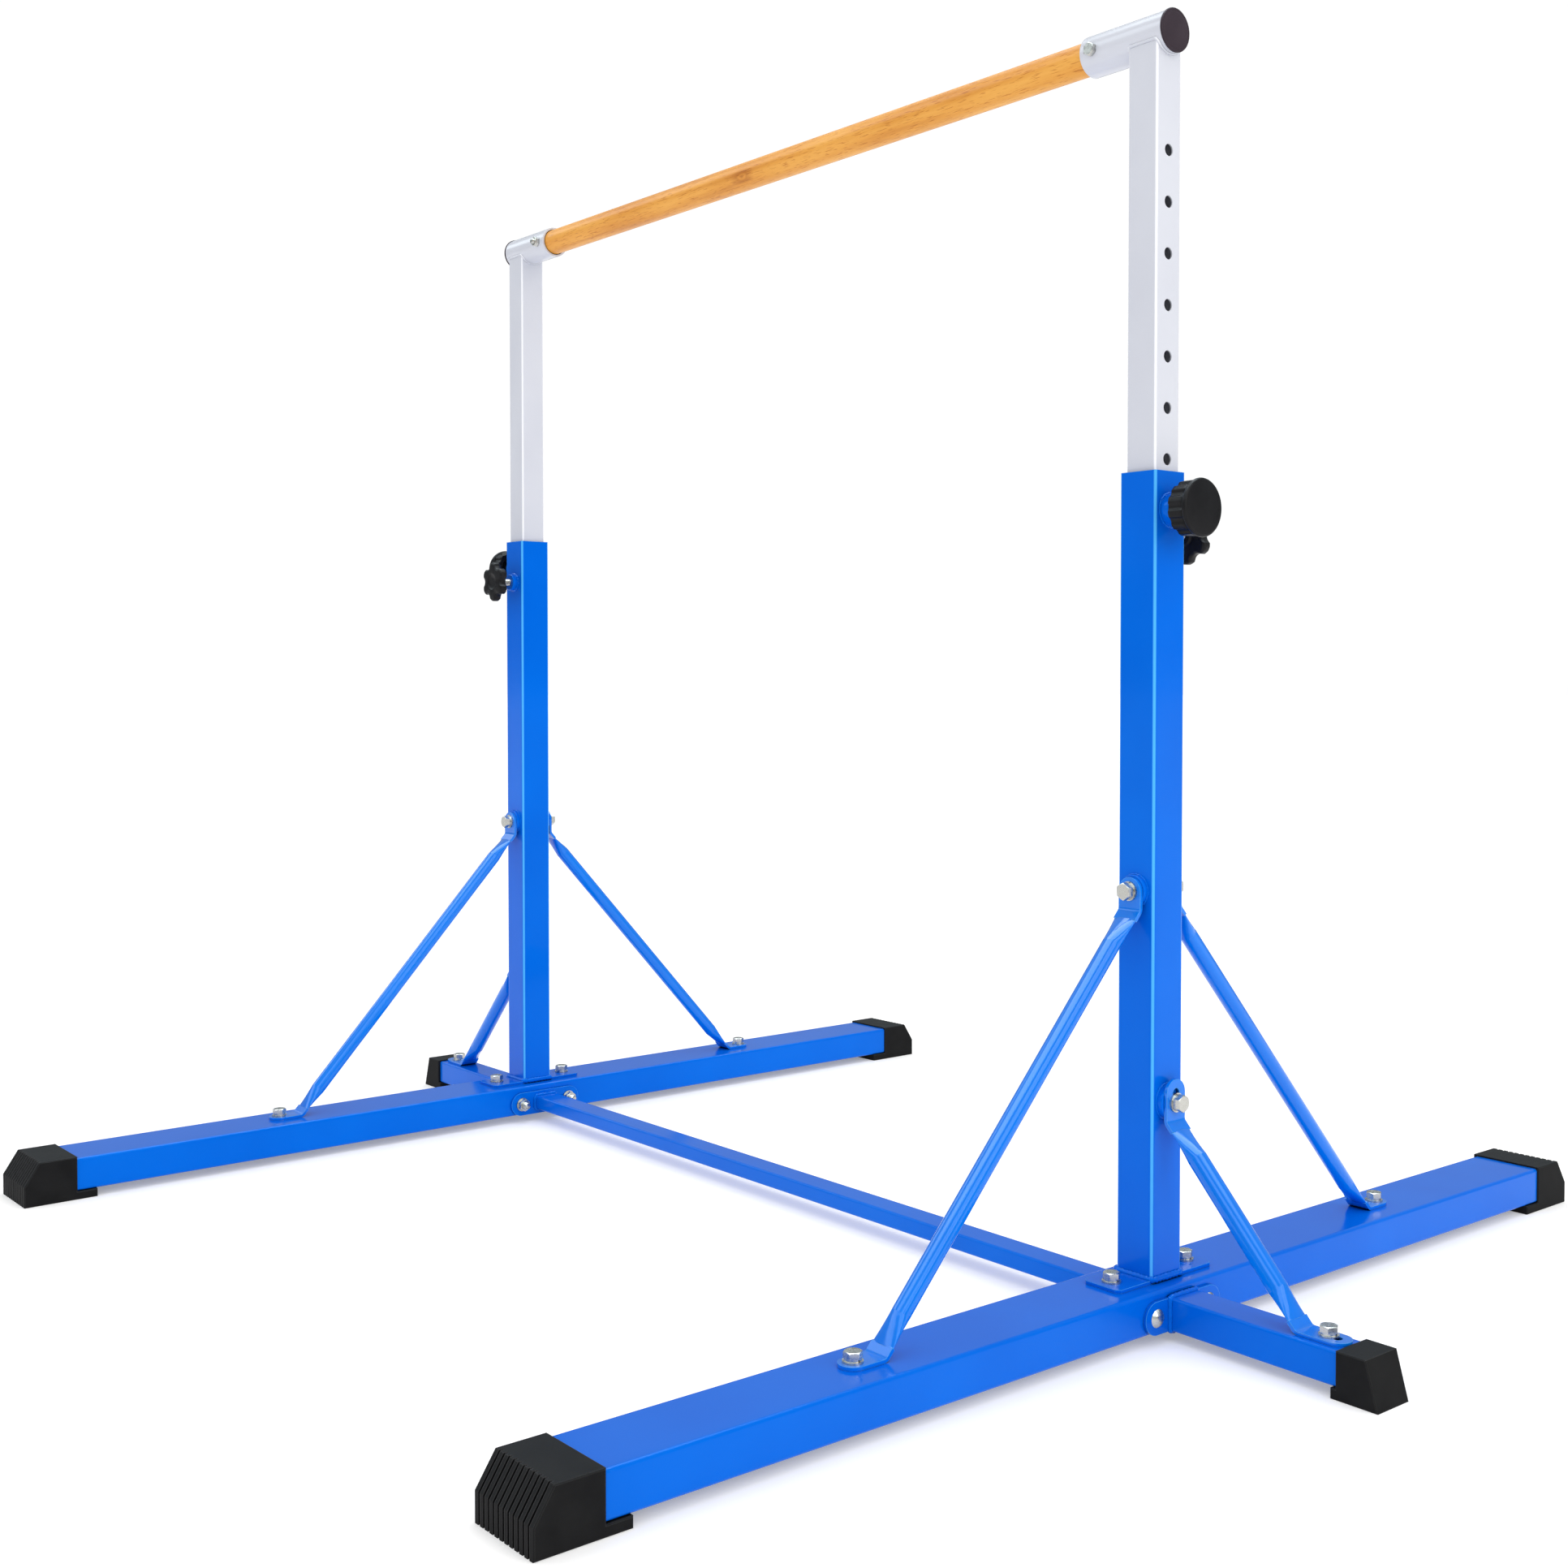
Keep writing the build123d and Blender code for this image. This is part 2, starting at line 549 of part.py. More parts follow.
# ---------------------------------------------------------------- locking pin and clamping screw
def pin_shank():
    """The steel locking pin, withdrawn so that its tip just clears the inner tube."""
    tip = INNER_FACE + SLIDE_CLEARANCE
    tail = POST_FACE + PIN_BOSS_LENGTH + PIN_KNOB_GAP + PIN_KNOB_SKIRT - KNOB_FRONT_SKIN
    shank = rod(PIN_DIAMETER / 2, (tip, 0, PIN_Z), (tail, 0, PIN_Z))
    return chamfer(shank.faces().sort_by(Axis.X)[0].edges(), TIP_CHAMFER)


def pin_knob():
    """The round knob: a smooth disc in front of a scalloped skirt."""
    back = POST_FACE + PIN_BOSS_LENGTH + PIN_KNOB_GAP
    plane = Plane(origin=(back, 0, PIN_Z), x_dir=(0, 1, 0), z_dir=(1, 0, 0))
    skirt_radius = PIN_KNOB_DIAMETER / 2 - PIN_KNOB_INSET
    outline = Circle(skirt_radius)
    flute = Pos(skirt_radius + FLUTE_CENTRE_OUT, 0) * Circle(FLUTE_RADIUS)
    for number in range(PIN_KNOB_FLUTES):
        outline -= Rot(0, 0, 360 / PIN_KNOB_FLUTES * number) * flute
    skirt = extrude(plane * outline, amount=PIN_KNOB_SKIRT)
    disc = extrude(plane.offset(PIN_KNOB_SKIRT) * Circle(PIN_KNOB_DIAMETER / 2), amount=PIN_KNOB_DISC)
    disc = fillet(disc.edges().filter_by(GeomType.CIRCLE), PIN_KNOB_ROUNDING)
    ring = Circle(RECESS_RADIUS) - Circle(RECESS_HUB_RADIUS)
    knob = skirt + disc - extrude(plane * ring, amount=RECESS_DEPTH)
    return knob - extrude(plane * Circle(PIN_DIAMETER / 2), amount=PIN_KNOB_SKIRT - KNOB_FRONT_SKIN)


def screw_stud():
    """The clamping screw's stud, its tip just clear of the inner tube."""
    tip = INNER_FACE + SLIDE_CLEARANCE
    tail = POST_FACE + STAR_BACK + STAR_THICK - KNOB_FRONT_SKIN - SLIDE_CLEARANCE
    stud = rod(SCREW_DIAMETER / 2, (0, tip, SCREW_Z), (0, tail, SCREW_Z))
    return chamfer(stud.faces().sort_by(Axis.Y)[0].edges(), TIP_CHAMFER)


def star_knob():
    """The six-lobed knob on the stud's outer end."""
    back = POST_FACE + STAR_BACK
    plane = Plane(origin=(0, back, SCREW_Z), x_dir=(0, 0, 1), z_dir=(0, 1, 0))
    outline = Circle(STAR_DIAMETER / 2)
    for number in range(STAR_LOBES):
        angle = 360 / STAR_LOBES * (number + 0.5)
        outline -= Rot(0, 0, angle) * Pos(STAR_DIAMETER / 2 + SCALLOP_CENTRE_OUT, 0) * Circle(SCALLOP_RADIUS)
    outline = fillet(outline.vertices(), SCALLOP_ROUNDING)
    star = extrude(plane * outline, amount=STAR_THICK)
    star = fillet(star.faces().filter_by(Plane.XZ).edges(), STAR_ROUNDING)
    hub_face = plane.offset(-STAR_HUB_LENGTH)
    hub = extrude(hub_face * Circle(STAR_HUB_DIAMETER / 2), amount=STAR_HUB_LENGTH)
    socket = STAR_HUB_LENGTH + STAR_THICK - KNOB_FRONT_SKIN
    return star + hub - extrude(hub_face * Circle(SCREW_HOLE / 2), amount=socket)


# ---------------------------------------------------------------- fasteners of one stand
def bolted_down(origin, direction, grip):
    """A washer, a spring washer and a bolt stacked on a surface."""
    origin = Vector(*origin)
    direction = Vector(*direction)
    spring_base = origin + direction * WASHER_THICK
    head_base = spring_base + direction * SPRING_WASHER_THICK
    flat = washer(seat(origin, direction))
    spring = spring_washer(seat(spring_base, direction))
    shank = WASHER_THICK + SPRING_WASHER_THICK + grip
    return flat, spring, hex_bolt(seat(head_base, direction), shank)


def screwed_down():
    """Bolts into weld nuts inside the tubes: two through the base plate and three at the brace feet."""
    places = [((0, side * PLATE_BOLT_Y, BEAM_TOP), PLATE_THICK, BEAM_WALL) for side in (-1, 1)]
    places += [((0, side * BRACE_FOOT_Y, BEAM_TOP), TAB_THICK, BEAM_WALL) for side in (-1, 1)]
    places.append(((LEG_BRACE_FOOT_X, 0, LEG_TOP), TAB_THICK, LEG_WALL))
    up = Vector(0, 0, 1)
    washers, springs, bolts, nuts = [], [], [], []
    for surface, thick, wall in places:
        surface = Vector(*surface)
        grip = thick + wall + NUT_THICK + NUT_SPARE
        flat, spring, bolt = bolted_down(surface + up * thick, up, grip)
        washers.append(flat)
        springs.append(spring)
        bolts.append(bolt)
        nuts.append(nut(seat(surface - up * wall, up * -1)))
    return washers, springs, bolts, nuts


def brace_top_fasteners():
    """Bolts that hold the three brace tops to their bosses."""
    long_face = POST_FACE + BRACE_BOSS_LENGTH + TAB_THICK
    outer_face = POST_FACE + LEG_BOSS_LENGTH + TAB_THICK
    places = [((0, side * long_face, BRACE_TOP_Z), (0, side, 0), BRACE_BOSS_LENGTH) for side in (-1, 1)]
    places.append(((outer_face, 0, LEG_BRACE_TOP_Z), (1, 0, 0), LEG_BOSS_LENGTH))
    washers, springs, bolts = [], [], []
    for origin, way, depth in places:
        flat, spring, bolt = bolted_down(origin, way, TAB_THICK + depth + POST_WALL)
        washers.append(flat)
        springs.append(spring)
        bolts.append(bolt)
    return washers, springs, bolts


def flange_fasteners():
    """Round-headed bolts through both flanges and the beam, with washers and nuts on the inner side."""
    outer_x = BEAM_SIDE + FLANGE_THICK
    grip = 2 * outer_x + WASHER_THICK + NUT_THICK + BOLT_STANDS_OUT
    washers, bolts, nuts = [], [], []
    for side in (-1, 1):
        y = side * FLANGE_BOLT_Y
        bolts.append(dome_bolt(seat((outer_x, y, JOIN_Z), (1, 0, 0)), grip))
        washers.append(washer(seat((-outer_x, y, JOIN_Z), (-1, 0, 0))))
        nuts.append(nut(seat((-outer_x - WASHER_THICK, y, JOIN_Z), (-1, 0, 0))))
    return washers, bolts, nuts


# ---------------------------------------------------------------- placing and writing
def placed(shape, side):
    """A stand's piece in the machine: side 1 is the right stand and -1 the left, turned about +Z."""
    turned = shape if side == 1 else Rot(0, 0, 180) * shape
    return Pos(side * HALF_SPACING, 0, 0) * turned


def node_name(name, side):
    """A piece's node name: turning the left stand round swaps its back, towards +Y, and its front."""
    if side == 1:
        return name + "_right"
    stem, _, end = name.rpartition("_")
    opposite = {"back": "front", "front": "back"}
    return (stem + "_" + opposite[end] if end in opposite else name) + "_left"


def solids_of(shape):
    """Every solid in a shape or a list of shapes."""
    shapes = shape if isinstance(shape, (list, tuple)) else [shape]
    return [solid for one in shapes for solid in one.solids()]


def write(name, shape):
    """One STEP file per node; a group of like pieces is a compound of separate solids."""
    solids = solids_of(shape)
    whole = solids[0] if len(solids) == 1 else Compound(children=solids)
    export_step(whole, os.path.join("parts", name + ".step"))


def stand_pieces():
    """Every node of one stand, drawn about its own upright."""
    floor_washers, floor_springs, floor_bolts, weld_nuts = screwed_down()
    top_washers, top_springs, top_bolts = brace_top_fasteners()
    flange_washers, flange_bolts, flange_nuts = flange_fasteners()
    foot = beam_foot()
    long = long_brace()
    turn = Rot(0, 0, 180)
    singles = {
        "base_beam": base_beam(),
        "beam_foot_back": foot,
        "beam_foot_front": turn * foot,
        "outrigger_tube": outrigger_tube(),
        "outrigger_flange": Pos(BEAM_SIDE, 0, 0) * flange(),
        "outrigger_foot": outrigger_foot(),
        "crossbeam_flange": Pos(-BEAM_SIDE - FLANGE_THICK, 0, 0) * flange(),
        "base_plate": base_plate(),
        "upright_tube": upright_tube(),
        "pin_boss": pin_boss(),
        "screw_boss": screw_boss(),
        "brace_bosses": brace_bosses(),
        "brace_back": long,
        "brace_front": turn * long,
        "outrigger_brace": outrigger_brace(),
        "inner_tube": inner_tube(),
        "bar_sleeve": bar_sleeve(),
        "sleeve_cap": sleeve_cap(),
        "bar_bolt": bar_bolt(),
        "bar_nut": bar_nut(),
        "pin_shank": pin_shank(),
        "pin_knob": pin_knob(),
        "screw_stud": screw_stud(),
        "star_knob": star_knob(),
    }
    shared = {
        "plate_bolts": floor_bolts[:2],
        "brace_foot_bolts": floor_bolts[2:],
        "weld_nuts": weld_nuts,
        "brace_top_bolts": top_bolts,
        "flange_bolts": flange_bolts,
        "flange_nuts": flange_nuts,
        "washers": floor_washers + top_washers + flange_washers,
        "spring_washers": floor_springs + top_springs,
    }
    return singles, shared


def main():
    os.makedirs("parts", exist_ok=True)
    singles, shared = stand_pieces()
    for name, shape in singles.items():
        for side in (1, -1):
            write(node_name(name, side), [placed(solid, side) for solid in solids_of(shape)])
    for name, shapes in shared.items():
        write(name, [placed(solid, side) for side in (1, -1) for solid in solids_of(shapes)])
    write("crossbeam_tube", crossbeam_tube())
    write("wood_bar", wood_bar())


main()
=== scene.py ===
import json
import math
from random import Random

import bmesh
import bpy
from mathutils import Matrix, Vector


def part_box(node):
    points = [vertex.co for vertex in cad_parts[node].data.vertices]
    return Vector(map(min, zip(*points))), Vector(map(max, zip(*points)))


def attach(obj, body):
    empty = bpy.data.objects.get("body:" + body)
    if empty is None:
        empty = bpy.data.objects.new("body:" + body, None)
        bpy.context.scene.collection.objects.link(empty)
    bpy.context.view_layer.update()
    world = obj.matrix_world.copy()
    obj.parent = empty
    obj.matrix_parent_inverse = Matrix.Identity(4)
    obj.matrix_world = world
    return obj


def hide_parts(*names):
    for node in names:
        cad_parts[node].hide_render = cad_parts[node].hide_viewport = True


# The looks of the kip bar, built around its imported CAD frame. Metres; +Z up, +X along the high bar.
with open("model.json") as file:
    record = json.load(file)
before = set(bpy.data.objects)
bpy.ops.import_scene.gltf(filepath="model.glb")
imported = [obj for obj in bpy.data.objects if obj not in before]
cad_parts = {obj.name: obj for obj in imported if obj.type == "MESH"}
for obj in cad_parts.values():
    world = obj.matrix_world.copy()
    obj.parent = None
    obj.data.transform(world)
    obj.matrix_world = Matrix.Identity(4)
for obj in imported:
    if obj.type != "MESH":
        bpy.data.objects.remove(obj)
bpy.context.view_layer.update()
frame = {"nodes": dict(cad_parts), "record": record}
nodes = frame["nodes"]
SIDES = (("right", 1), ("left", -1))
ENDS = (("back", 1), ("front", -1))

# ---------------------------------------------------------------- places, read from the frame
low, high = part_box("upright_tube_right")
POST_X = (low.x + high.x) / 2
POST_HALF = (high.x - low.x) / 2
PLATE_TOP = low.z
low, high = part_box("wood_bar")
BAR_Z = (low.z + high.z) / 2
KNOT = (-0.056, 0.94 * low.y, BAR_Z + 0.33 * low.y)      # on the bar's front, a little under its middle
low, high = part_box("bar_sleeve_right")
SLEEVE_RADIUS = (high.z - low.z) / 2
low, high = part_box("inner_tube_right")
INNER_HALF = (high.x - low.x) / 2
low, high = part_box("crossbeam_tube")
JOIN_Z = (low.z + high.z) / 2

# ---------------------------------------------------------------- places and sizes that no box gives
BRACE_TOP_Z = 0.480
LEG_BRACE_TOP_Z = 0.252
BRACE_BOSS_RADIUS = 0.0175
LEG_BOSS_RADIUS = 0.019
FLANGE_BOLT_Y = 0.043
FLANGE_NUT_FACE = 0.059      # outer face of a flange nut, from the upright's centre towards the middle
CAP_PLUG_RADIUS = 0.0196
CAP_DISC = 0.003             # the thickness of a cap's disc, outside its sleeve
POST_CORNER = 0.004          # outer corner radius of an upright
TUBE_CORNER = 0.003          # and of an outrigger, an inner tube and the cross-beam

POST_WELD = 0.0040           # bead radii
JOINT_WELD = 0.0032
SLEEVE_WELD = 0.0019
PIN_BOSS_WELD = 0.0017
SCREW_BOSS_WELD = 0.0022
BRACE_BOSS_WELD = 0.0014
LEG_BOSS_WELD = 0.0016
WELD_STEP = 0.0022           # from one point of a straight bead to the next
SLEEVE_WELD_STEP = 0.003
WELD_LEAN = 0.7              # how far a bead's cross-section leans off its plate, against 1 outwards
SLEEVE_WELD_LEAN = 0.3

COARSE_PITCH = 0.0015        # threads of the clamping screws and flange bolts
FINE_PITCH = 0.00125         # threads of the bar bolts
FLANGE_THREAD_LENGTH = 0.0074
FLANGE_THREAD_RADIUS = 0.0053
BAR_THREAD_RADIUS = 0.00425
BAR_THREAD_SUNK = 0.001      # how far a bar bolt's thread starts inside its nut
BAR_THREAD_PROUD = 0.0003    # and how far it reaches past the bolt's plain end

BEAD_SIDES = 10              # sides of each round form
RING_WELD_POINTS = 72
ROUND_KNOB_SIDES = 240
STAR_KNOB_SIDES = 192
CAP_SIDES = 96
ROD_SIDES = 28


# ---------------------------------------------------------------- material helpers
def new_material(name):
    """A node material, its node tree and its shader."""
    material = bpy.data.materials.new(name)
    material.use_nodes = True
    tree = material.node_tree
    shader = tree.nodes["Principled BSDF"]
    return material, tree, shader


def add(tree, kind, **settings):
    """A node with its properties and its unlinked inputs set by name."""
    node = tree.nodes.new(kind)
    for key, value in settings.items():
        if hasattr(node, key):
            setattr(node, key, value)
        else:
            node.inputs[key.replace("_", " ")].default_value = value
    return node


def link(tree, source, output, target, socket):
    """Joins one node's named output to another node's named input."""
    tree.links.new(source.outputs[output], target.inputs[socket])


def feed(tree, value, socket):
    """Gives an input its value, which is another node's output or a fixed value."""
    if isinstance(value, bpy.types.NodeSocket):
        tree.links.new(value, socket)
    else:
        socket.default_value = value


def coordinates(tree, scale=(1, 1, 1)):
    """The piece's own coordinates in metres, stretched by scale."""
    place = add(tree, "ShaderNodeTexCoord")
    mapping = add(tree, "ShaderNodeMapping")
    mapping.inputs["Scale"].default_value = scale
    link(tree, place, "Object", mapping, "Vector")
    return mapping


def noise(tree, mapping, scale, detail=3.0, roughness=0.5):
    """Cloudy noise, with about scale blotches to the metre where the mapping doesn't stretch it."""
    node = add(tree, "ShaderNodeTexNoise")
    node.inputs["Scale"].default_value = scale
    node.inputs["Detail"].default_value = detail
    node.inputs["Roughness"].default_value = roughness
    link(tree, mapping, "Vector", node, "Vector")
    return node


def spread(tree, source, output, low_value, high_value, start=0.0, end=1.0):
    """Maps a texture's value onto a range."""
    node = add(tree, "ShaderNodeMapRange")
    node.inputs["From Min"].default_value = start
    node.inputs["From Max"].default_value = end
    node.inputs["To Min"].default_value = low_value
    node.inputs["To Max"].default_value = high_value
    link(tree, source, output, node, "Value")
    return node


def ramp_stops(node, stops):
    """Sets a colour ramp's (place, colour) stops."""
    elements = node.color_ramp.elements
    while len(elements) > 1:
        elements.remove(elements[-1])
    elements[0].position = stops[0][0]
    elements[0].color = (*stops[0][1], 1)
    for place, colour in stops[1:]:
        element = elements.new(place)
        element.color = (*colour, 1)
    return node


def ramp(tree, source, output, stops):
    """A colour ramp read by a texture's value."""
    node = ramp_stops(add(tree, "ShaderNodeValToRGB"), stops)
    link(tree, source, output, node, "Fac")
    return node


def arithmetic(tree, operation, *values):
    """One sum on sockets and numbers."""
    node = add(tree, "ShaderNodeMath", operation=operation)
    for socket, value in zip(node.inputs, values):
        feed(tree, value, socket)
    return node.outputs[0]


MIX_INPUTS = (6, 7, 0)       # a Mix node's two colours and its share, among inputs that bear the same names
MIX_RESULT = 2


def mixed(tree, under, over, share, blend="MIX"):
    """One colour laid over another."""
    node = add(tree, "ShaderNodeMix", data_type="RGBA", blend_type=blend)
    for place, value in zip(MIX_INPUTS, (under, over, share)):
        feed(tree, value, node.inputs[place])
    return node.outputs[MIX_RESULT]


def soft_edges(tree, radius):
    """Normals that round off sharp edges, and a mask that is 1 on the flats and falls at those edges."""
    bevel = add(tree, "ShaderNodeBevel", samples=6)
    bevel.inputs["Radius"].default_value = radius
    surface = add(tree, "ShaderNodeNewGeometry")
    mask = add(tree, "ShaderNodeVectorMath", operation="DOT_PRODUCT")
    tree.links.new(bevel.outputs["Normal"], mask.inputs[0])
    tree.links.new(surface.outputs["Normal"], mask.inputs[1])
    return bevel, mask


def bump(tree, shader, source, output, strength, distance, bevel=None):
    """Roughens the shader's surface by a texture's value, over rounded edges where there is a bevel."""
    node = add(tree, "ShaderNodeBump")
    node.inputs["Strength"].default_value = strength
    node.inputs["Distance"].default_value = distance
    link(tree, source, output, node, "Height")
    if bevel:
        link(tree, bevel, "Normal", node, "Normal")
    link(tree, node, "Normal", shader, "Normal")


def edge_wear_and_highlight(tree, shader, colour_socket, mask, edge_colour, amount):
    """Mixes another colour in where the edge mask falls: on painted steel thinner paint with a painted
    highlight, on moulded pieces a rim of another tone.
    """
    share = spread(tree, mask, "Value", amount, 0.0, start=0.75, end=0.97)
    colour = mixed(tree, colour_socket, (*edge_colour, 1), share.outputs["Result"])
    tree.links.new(colour, shader.inputs["Base Color"])


def painted_crevice_shade(tree, colour, reach, dark, shut, open_share):
    """Painted shade: darkens a colour where other surfaces close it in, in a joint (with some dirt there) and
    inside tubes and holes.

    reach is how far a surface counts; between shut and open_share of open view, dark fades out.
    """
    closed = add(tree, "ShaderNodeAmbientOcclusion", samples=6)
    closed.inputs["Distance"].default_value = reach
    grey = ramp(tree, closed, "AO", [(shut, (dark, dark, dark)), (open_share, (1.0, 1.0, 1.0))])
    return mixed(tree, colour, grey.outputs["Color"], 1.0, "MULTIPLY")


def painted_corner_highlight(tree, colour, highlight_colour, share):
    """Painted highlight: lightens the round upright corners of square tubes, as if the lights caught them."""
    surface = add(tree, "ShaderNodeTexCoord")
    split = add(tree, "ShaderNodeSeparateXYZ")
    link(tree, surface, "Normal", split, "Vector")
    both = arithmetic(tree, "MULTIPLY", split.outputs["X"], split.outputs["Y"])
    size = arithmetic(tree, "ABSOLUTE", both)
    grey = ramp_stops(
        add(tree, "ShaderNodeValToRGB"),
        [(0.22, (0.0, 0.0, 0.0)), (0.46, (share, share, share))],
    )
    tree.links.new(size, grey.inputs["Fac"])
    return mixed(tree, colour, (*highlight_colour, 1), grey.outputs["Color"])


def powder_coat(
    name, stops, edge_colour, edge_share, corner_highlight_share, roughness, specular, tint, coat, orange_peel
):
    """Glossy powder-coated steel: faint colour drift, orange peel, painted shade in joints and hollows,
    thinner paint with a painted highlight on the edges and, where asked, on upright corners.
    """
    material, tree, shader = new_material(name)
    place = coordinates(tree)
    drift = noise(tree, place, scale=7.0, detail=2.0)
    colour = ramp(tree, drift, "Fac", stops)
    bevel, mask = soft_edges(tree, radius=0.0014)
    # painted shade: first in the joints between pieces, then deep in the insides of tubes and holes
    joint_shade = painted_crevice_shade(tree, colour.outputs["Color"], reach=0.004, dark=0.35, shut=0.30, open_share=0.62)
    shaded = painted_crevice_shade(tree, joint_shade, reach=0.035, dark=0.02, shut=0.04, open_share=0.20)
    # painted highlight along the upright corners
    if corner_highlight_share:
        shaded = painted_corner_highlight(tree, shaded, edge_colour, corner_highlight_share)
    # thinner paint and a painted highlight along the edges
    edge_wear_and_highlight(tree, shader, shaded, mask, edge_colour, edge_share)
    peel = noise(tree, place, scale=420.0, detail=2.0)
    bump(tree, shader, peel, "Fac", strength=orange_peel, distance=0.0003, bevel=bevel)
    haze = noise(tree, place, scale=25.0, detail=4.0)
    rough = spread(tree, haze, "Fac", roughness * 0.95, roughness * 1.10, start=0.3, end=0.7)
    link(tree, rough, "Result", shader, "Roughness")
    shader.inputs["Specular IOR Level"].default_value = specular
    shader.inputs["Specular Tint"].default_value = (*tint, 1)
    shader.inputs["Coat Weight"].default_value = coat
    shader.inputs["Coat Roughness"].default_value = 0.05
    return material


def blue_paint(name, green, blue, corner_highlight_share, coat):
    """A blue without any red, drifting a little to both sides of its green and blue."""
    return powder_coat(
        name,
        stops=[(0.3, (0.0, 0.93 * green, 0.96 * blue)), (0.7, (0.0, 1.07 * green, 1.04 * blue))],
        # a lighter blue on the edges: thinner paint and a painted highlight
        edge_colour=(0.10, 0.50, 0.92),
        edge_share=0.75,
        corner_highlight_share=corner_highlight_share,
        roughness=0.15,
        specular=0.26,
        tint=(0.02, 0.46, 1.0),
        coat=coat,
        orange_peel=0.06,
    )


BLUE = blue_paint("blue_paint", green=0.1215, blue=0.650, corner_highlight_share=0.0, coat=0.05)
# the uprights' copy of the blue carries a painted highlight along its upright corners
BLUE_TUBE_HIGHLIT = blue_paint("blue_paint_tube_highlit", green=0.1215, blue=0.650, corner_highlight_share=0.80, coat=0.05)
# the braces' copy is a lighter blue, painted light for the brighter look of the sloping braces, with a thick
# clear coat
BLUE_BRACE_LIT = blue_paint("blue_paint_brace_lit", green=0.165, blue=0.720, corner_highlight_share=0.0, coat=0.60)
# silver: painted highlight along the upright corners, and a light edge colour that is partly thinner paint
# and partly a painted highlight
SILVER = powder_coat(
    "silver_paint",
    stops=[(0.3, (0.560, 0.575, 0.640)), (0.7, (0.600, 0.615, 0.675))],
    edge_colour=(0.88, 0.89, 0.93),
    edge_share=0.60,
    corner_highlight_share=0.90,
    roughness=0.20,
    specular=0.30,
    tint=(1.0, 1.0, 1.0),
    coat=0.20,
    orange_peel=0.10,
)


def zinc(name, tint):
    """Bright zinc plate: slightly yellow, faintly mottled metal."""
    material, tree, shader = new_material(name)
    place = coordinates(tree)
    mottle = noise(tree, place, scale=260.0, detail=4.0)
    colour = ramp(tree, mottle, "Fac", [(0.25, tuple(c * 0.82 for c in tint)), (0.75, tint)])
    link(tree, colour, "Color", shader, "Base Color")
    rough = spread(tree, mottle, "Fac", 0.20, 0.38, start=0.3, end=0.7)
    link(tree, rough, "Result", shader, "Roughness")
    shader.inputs["Metallic"].default_value = 1.0
    bump(tree, shader, mottle, "Fac", strength=0.08, distance=0.0002)
    return material


ZINC = zinc("zinc_steel", (0.58, 0.575, 0.54))


def moulded(name, dark, light, edge_colour, edge_radius, roughness, specular, grain):
    """Moulded black plastic or rubber with a fine matt grain and an edge of another tone."""
    material, tree, shader = new_material(name)
    place = coordinates(tree)
    drift = noise(tree, place, scale=30.0)
    colour = ramp(tree, drift, "Fac", [(0.3, dark), (0.7, light)])
    bevel, mask = soft_edges(tree, edge_radius)
    # painted shade in the joints between pieces
    shaded = painted_crevice_shade(tree, colour.outputs["Color"], reach=0.005, dark=0.20, shut=0.35, open_share=0.70)
    edge_wear_and_highlight(tree, shader, shaded, mask, edge_colour, amount=0.85)
    pebble = noise(tree, place, scale=1400.0)
    bump(tree, shader, pebble, "Fac", strength=grain, distance=0.0003, bevel=bevel)
    rough = spread(tree, drift, "Fac", roughness * 0.9, roughness * 1.15, start=0.3, end=0.7)
    link(tree, rough, "Result", shader, "Roughness")
    shader.inputs["Specular IOR Level"].default_value = specular
    return material


RUBBER = moulded(
    "rubber",
    dark=(0.0065, 0.0065, 0.0070),
    light=(0.0115, 0.0115, 0.0120),
    edge_colour=(0.070, 0.069, 0.071),
    edge_radius=0.0018,
    roughness=0.58,
    specular=0.07,
    grain=0.35,
)
PLASTIC = moulded(
    "black_plastic",
    dark=(0.0070, 0.0068, 0.0078),
    light=(0.0110, 0.0108, 0.0122),
    edge_colour=(0.036, 0.036, 0.041),
    edge_radius=0.0012,
    roughness=0.32,
    specular=0.11,
    grain=0.12,
)
CAP = moulded(
    "cap_plastic",
    dark=(0.032, 0.022, 0.030),
    light=(0.042, 0.030, 0.039),
    edge_colour=(0.010, 0.009, 0.011),
    edge_radius=0.0025,
    roughness=0.42,
    specular=0.12,
    grain=0.20,
)


KNOT_SCALE = (22.0, 62.0, 62.0)      # the knot is longer along the grain than across it


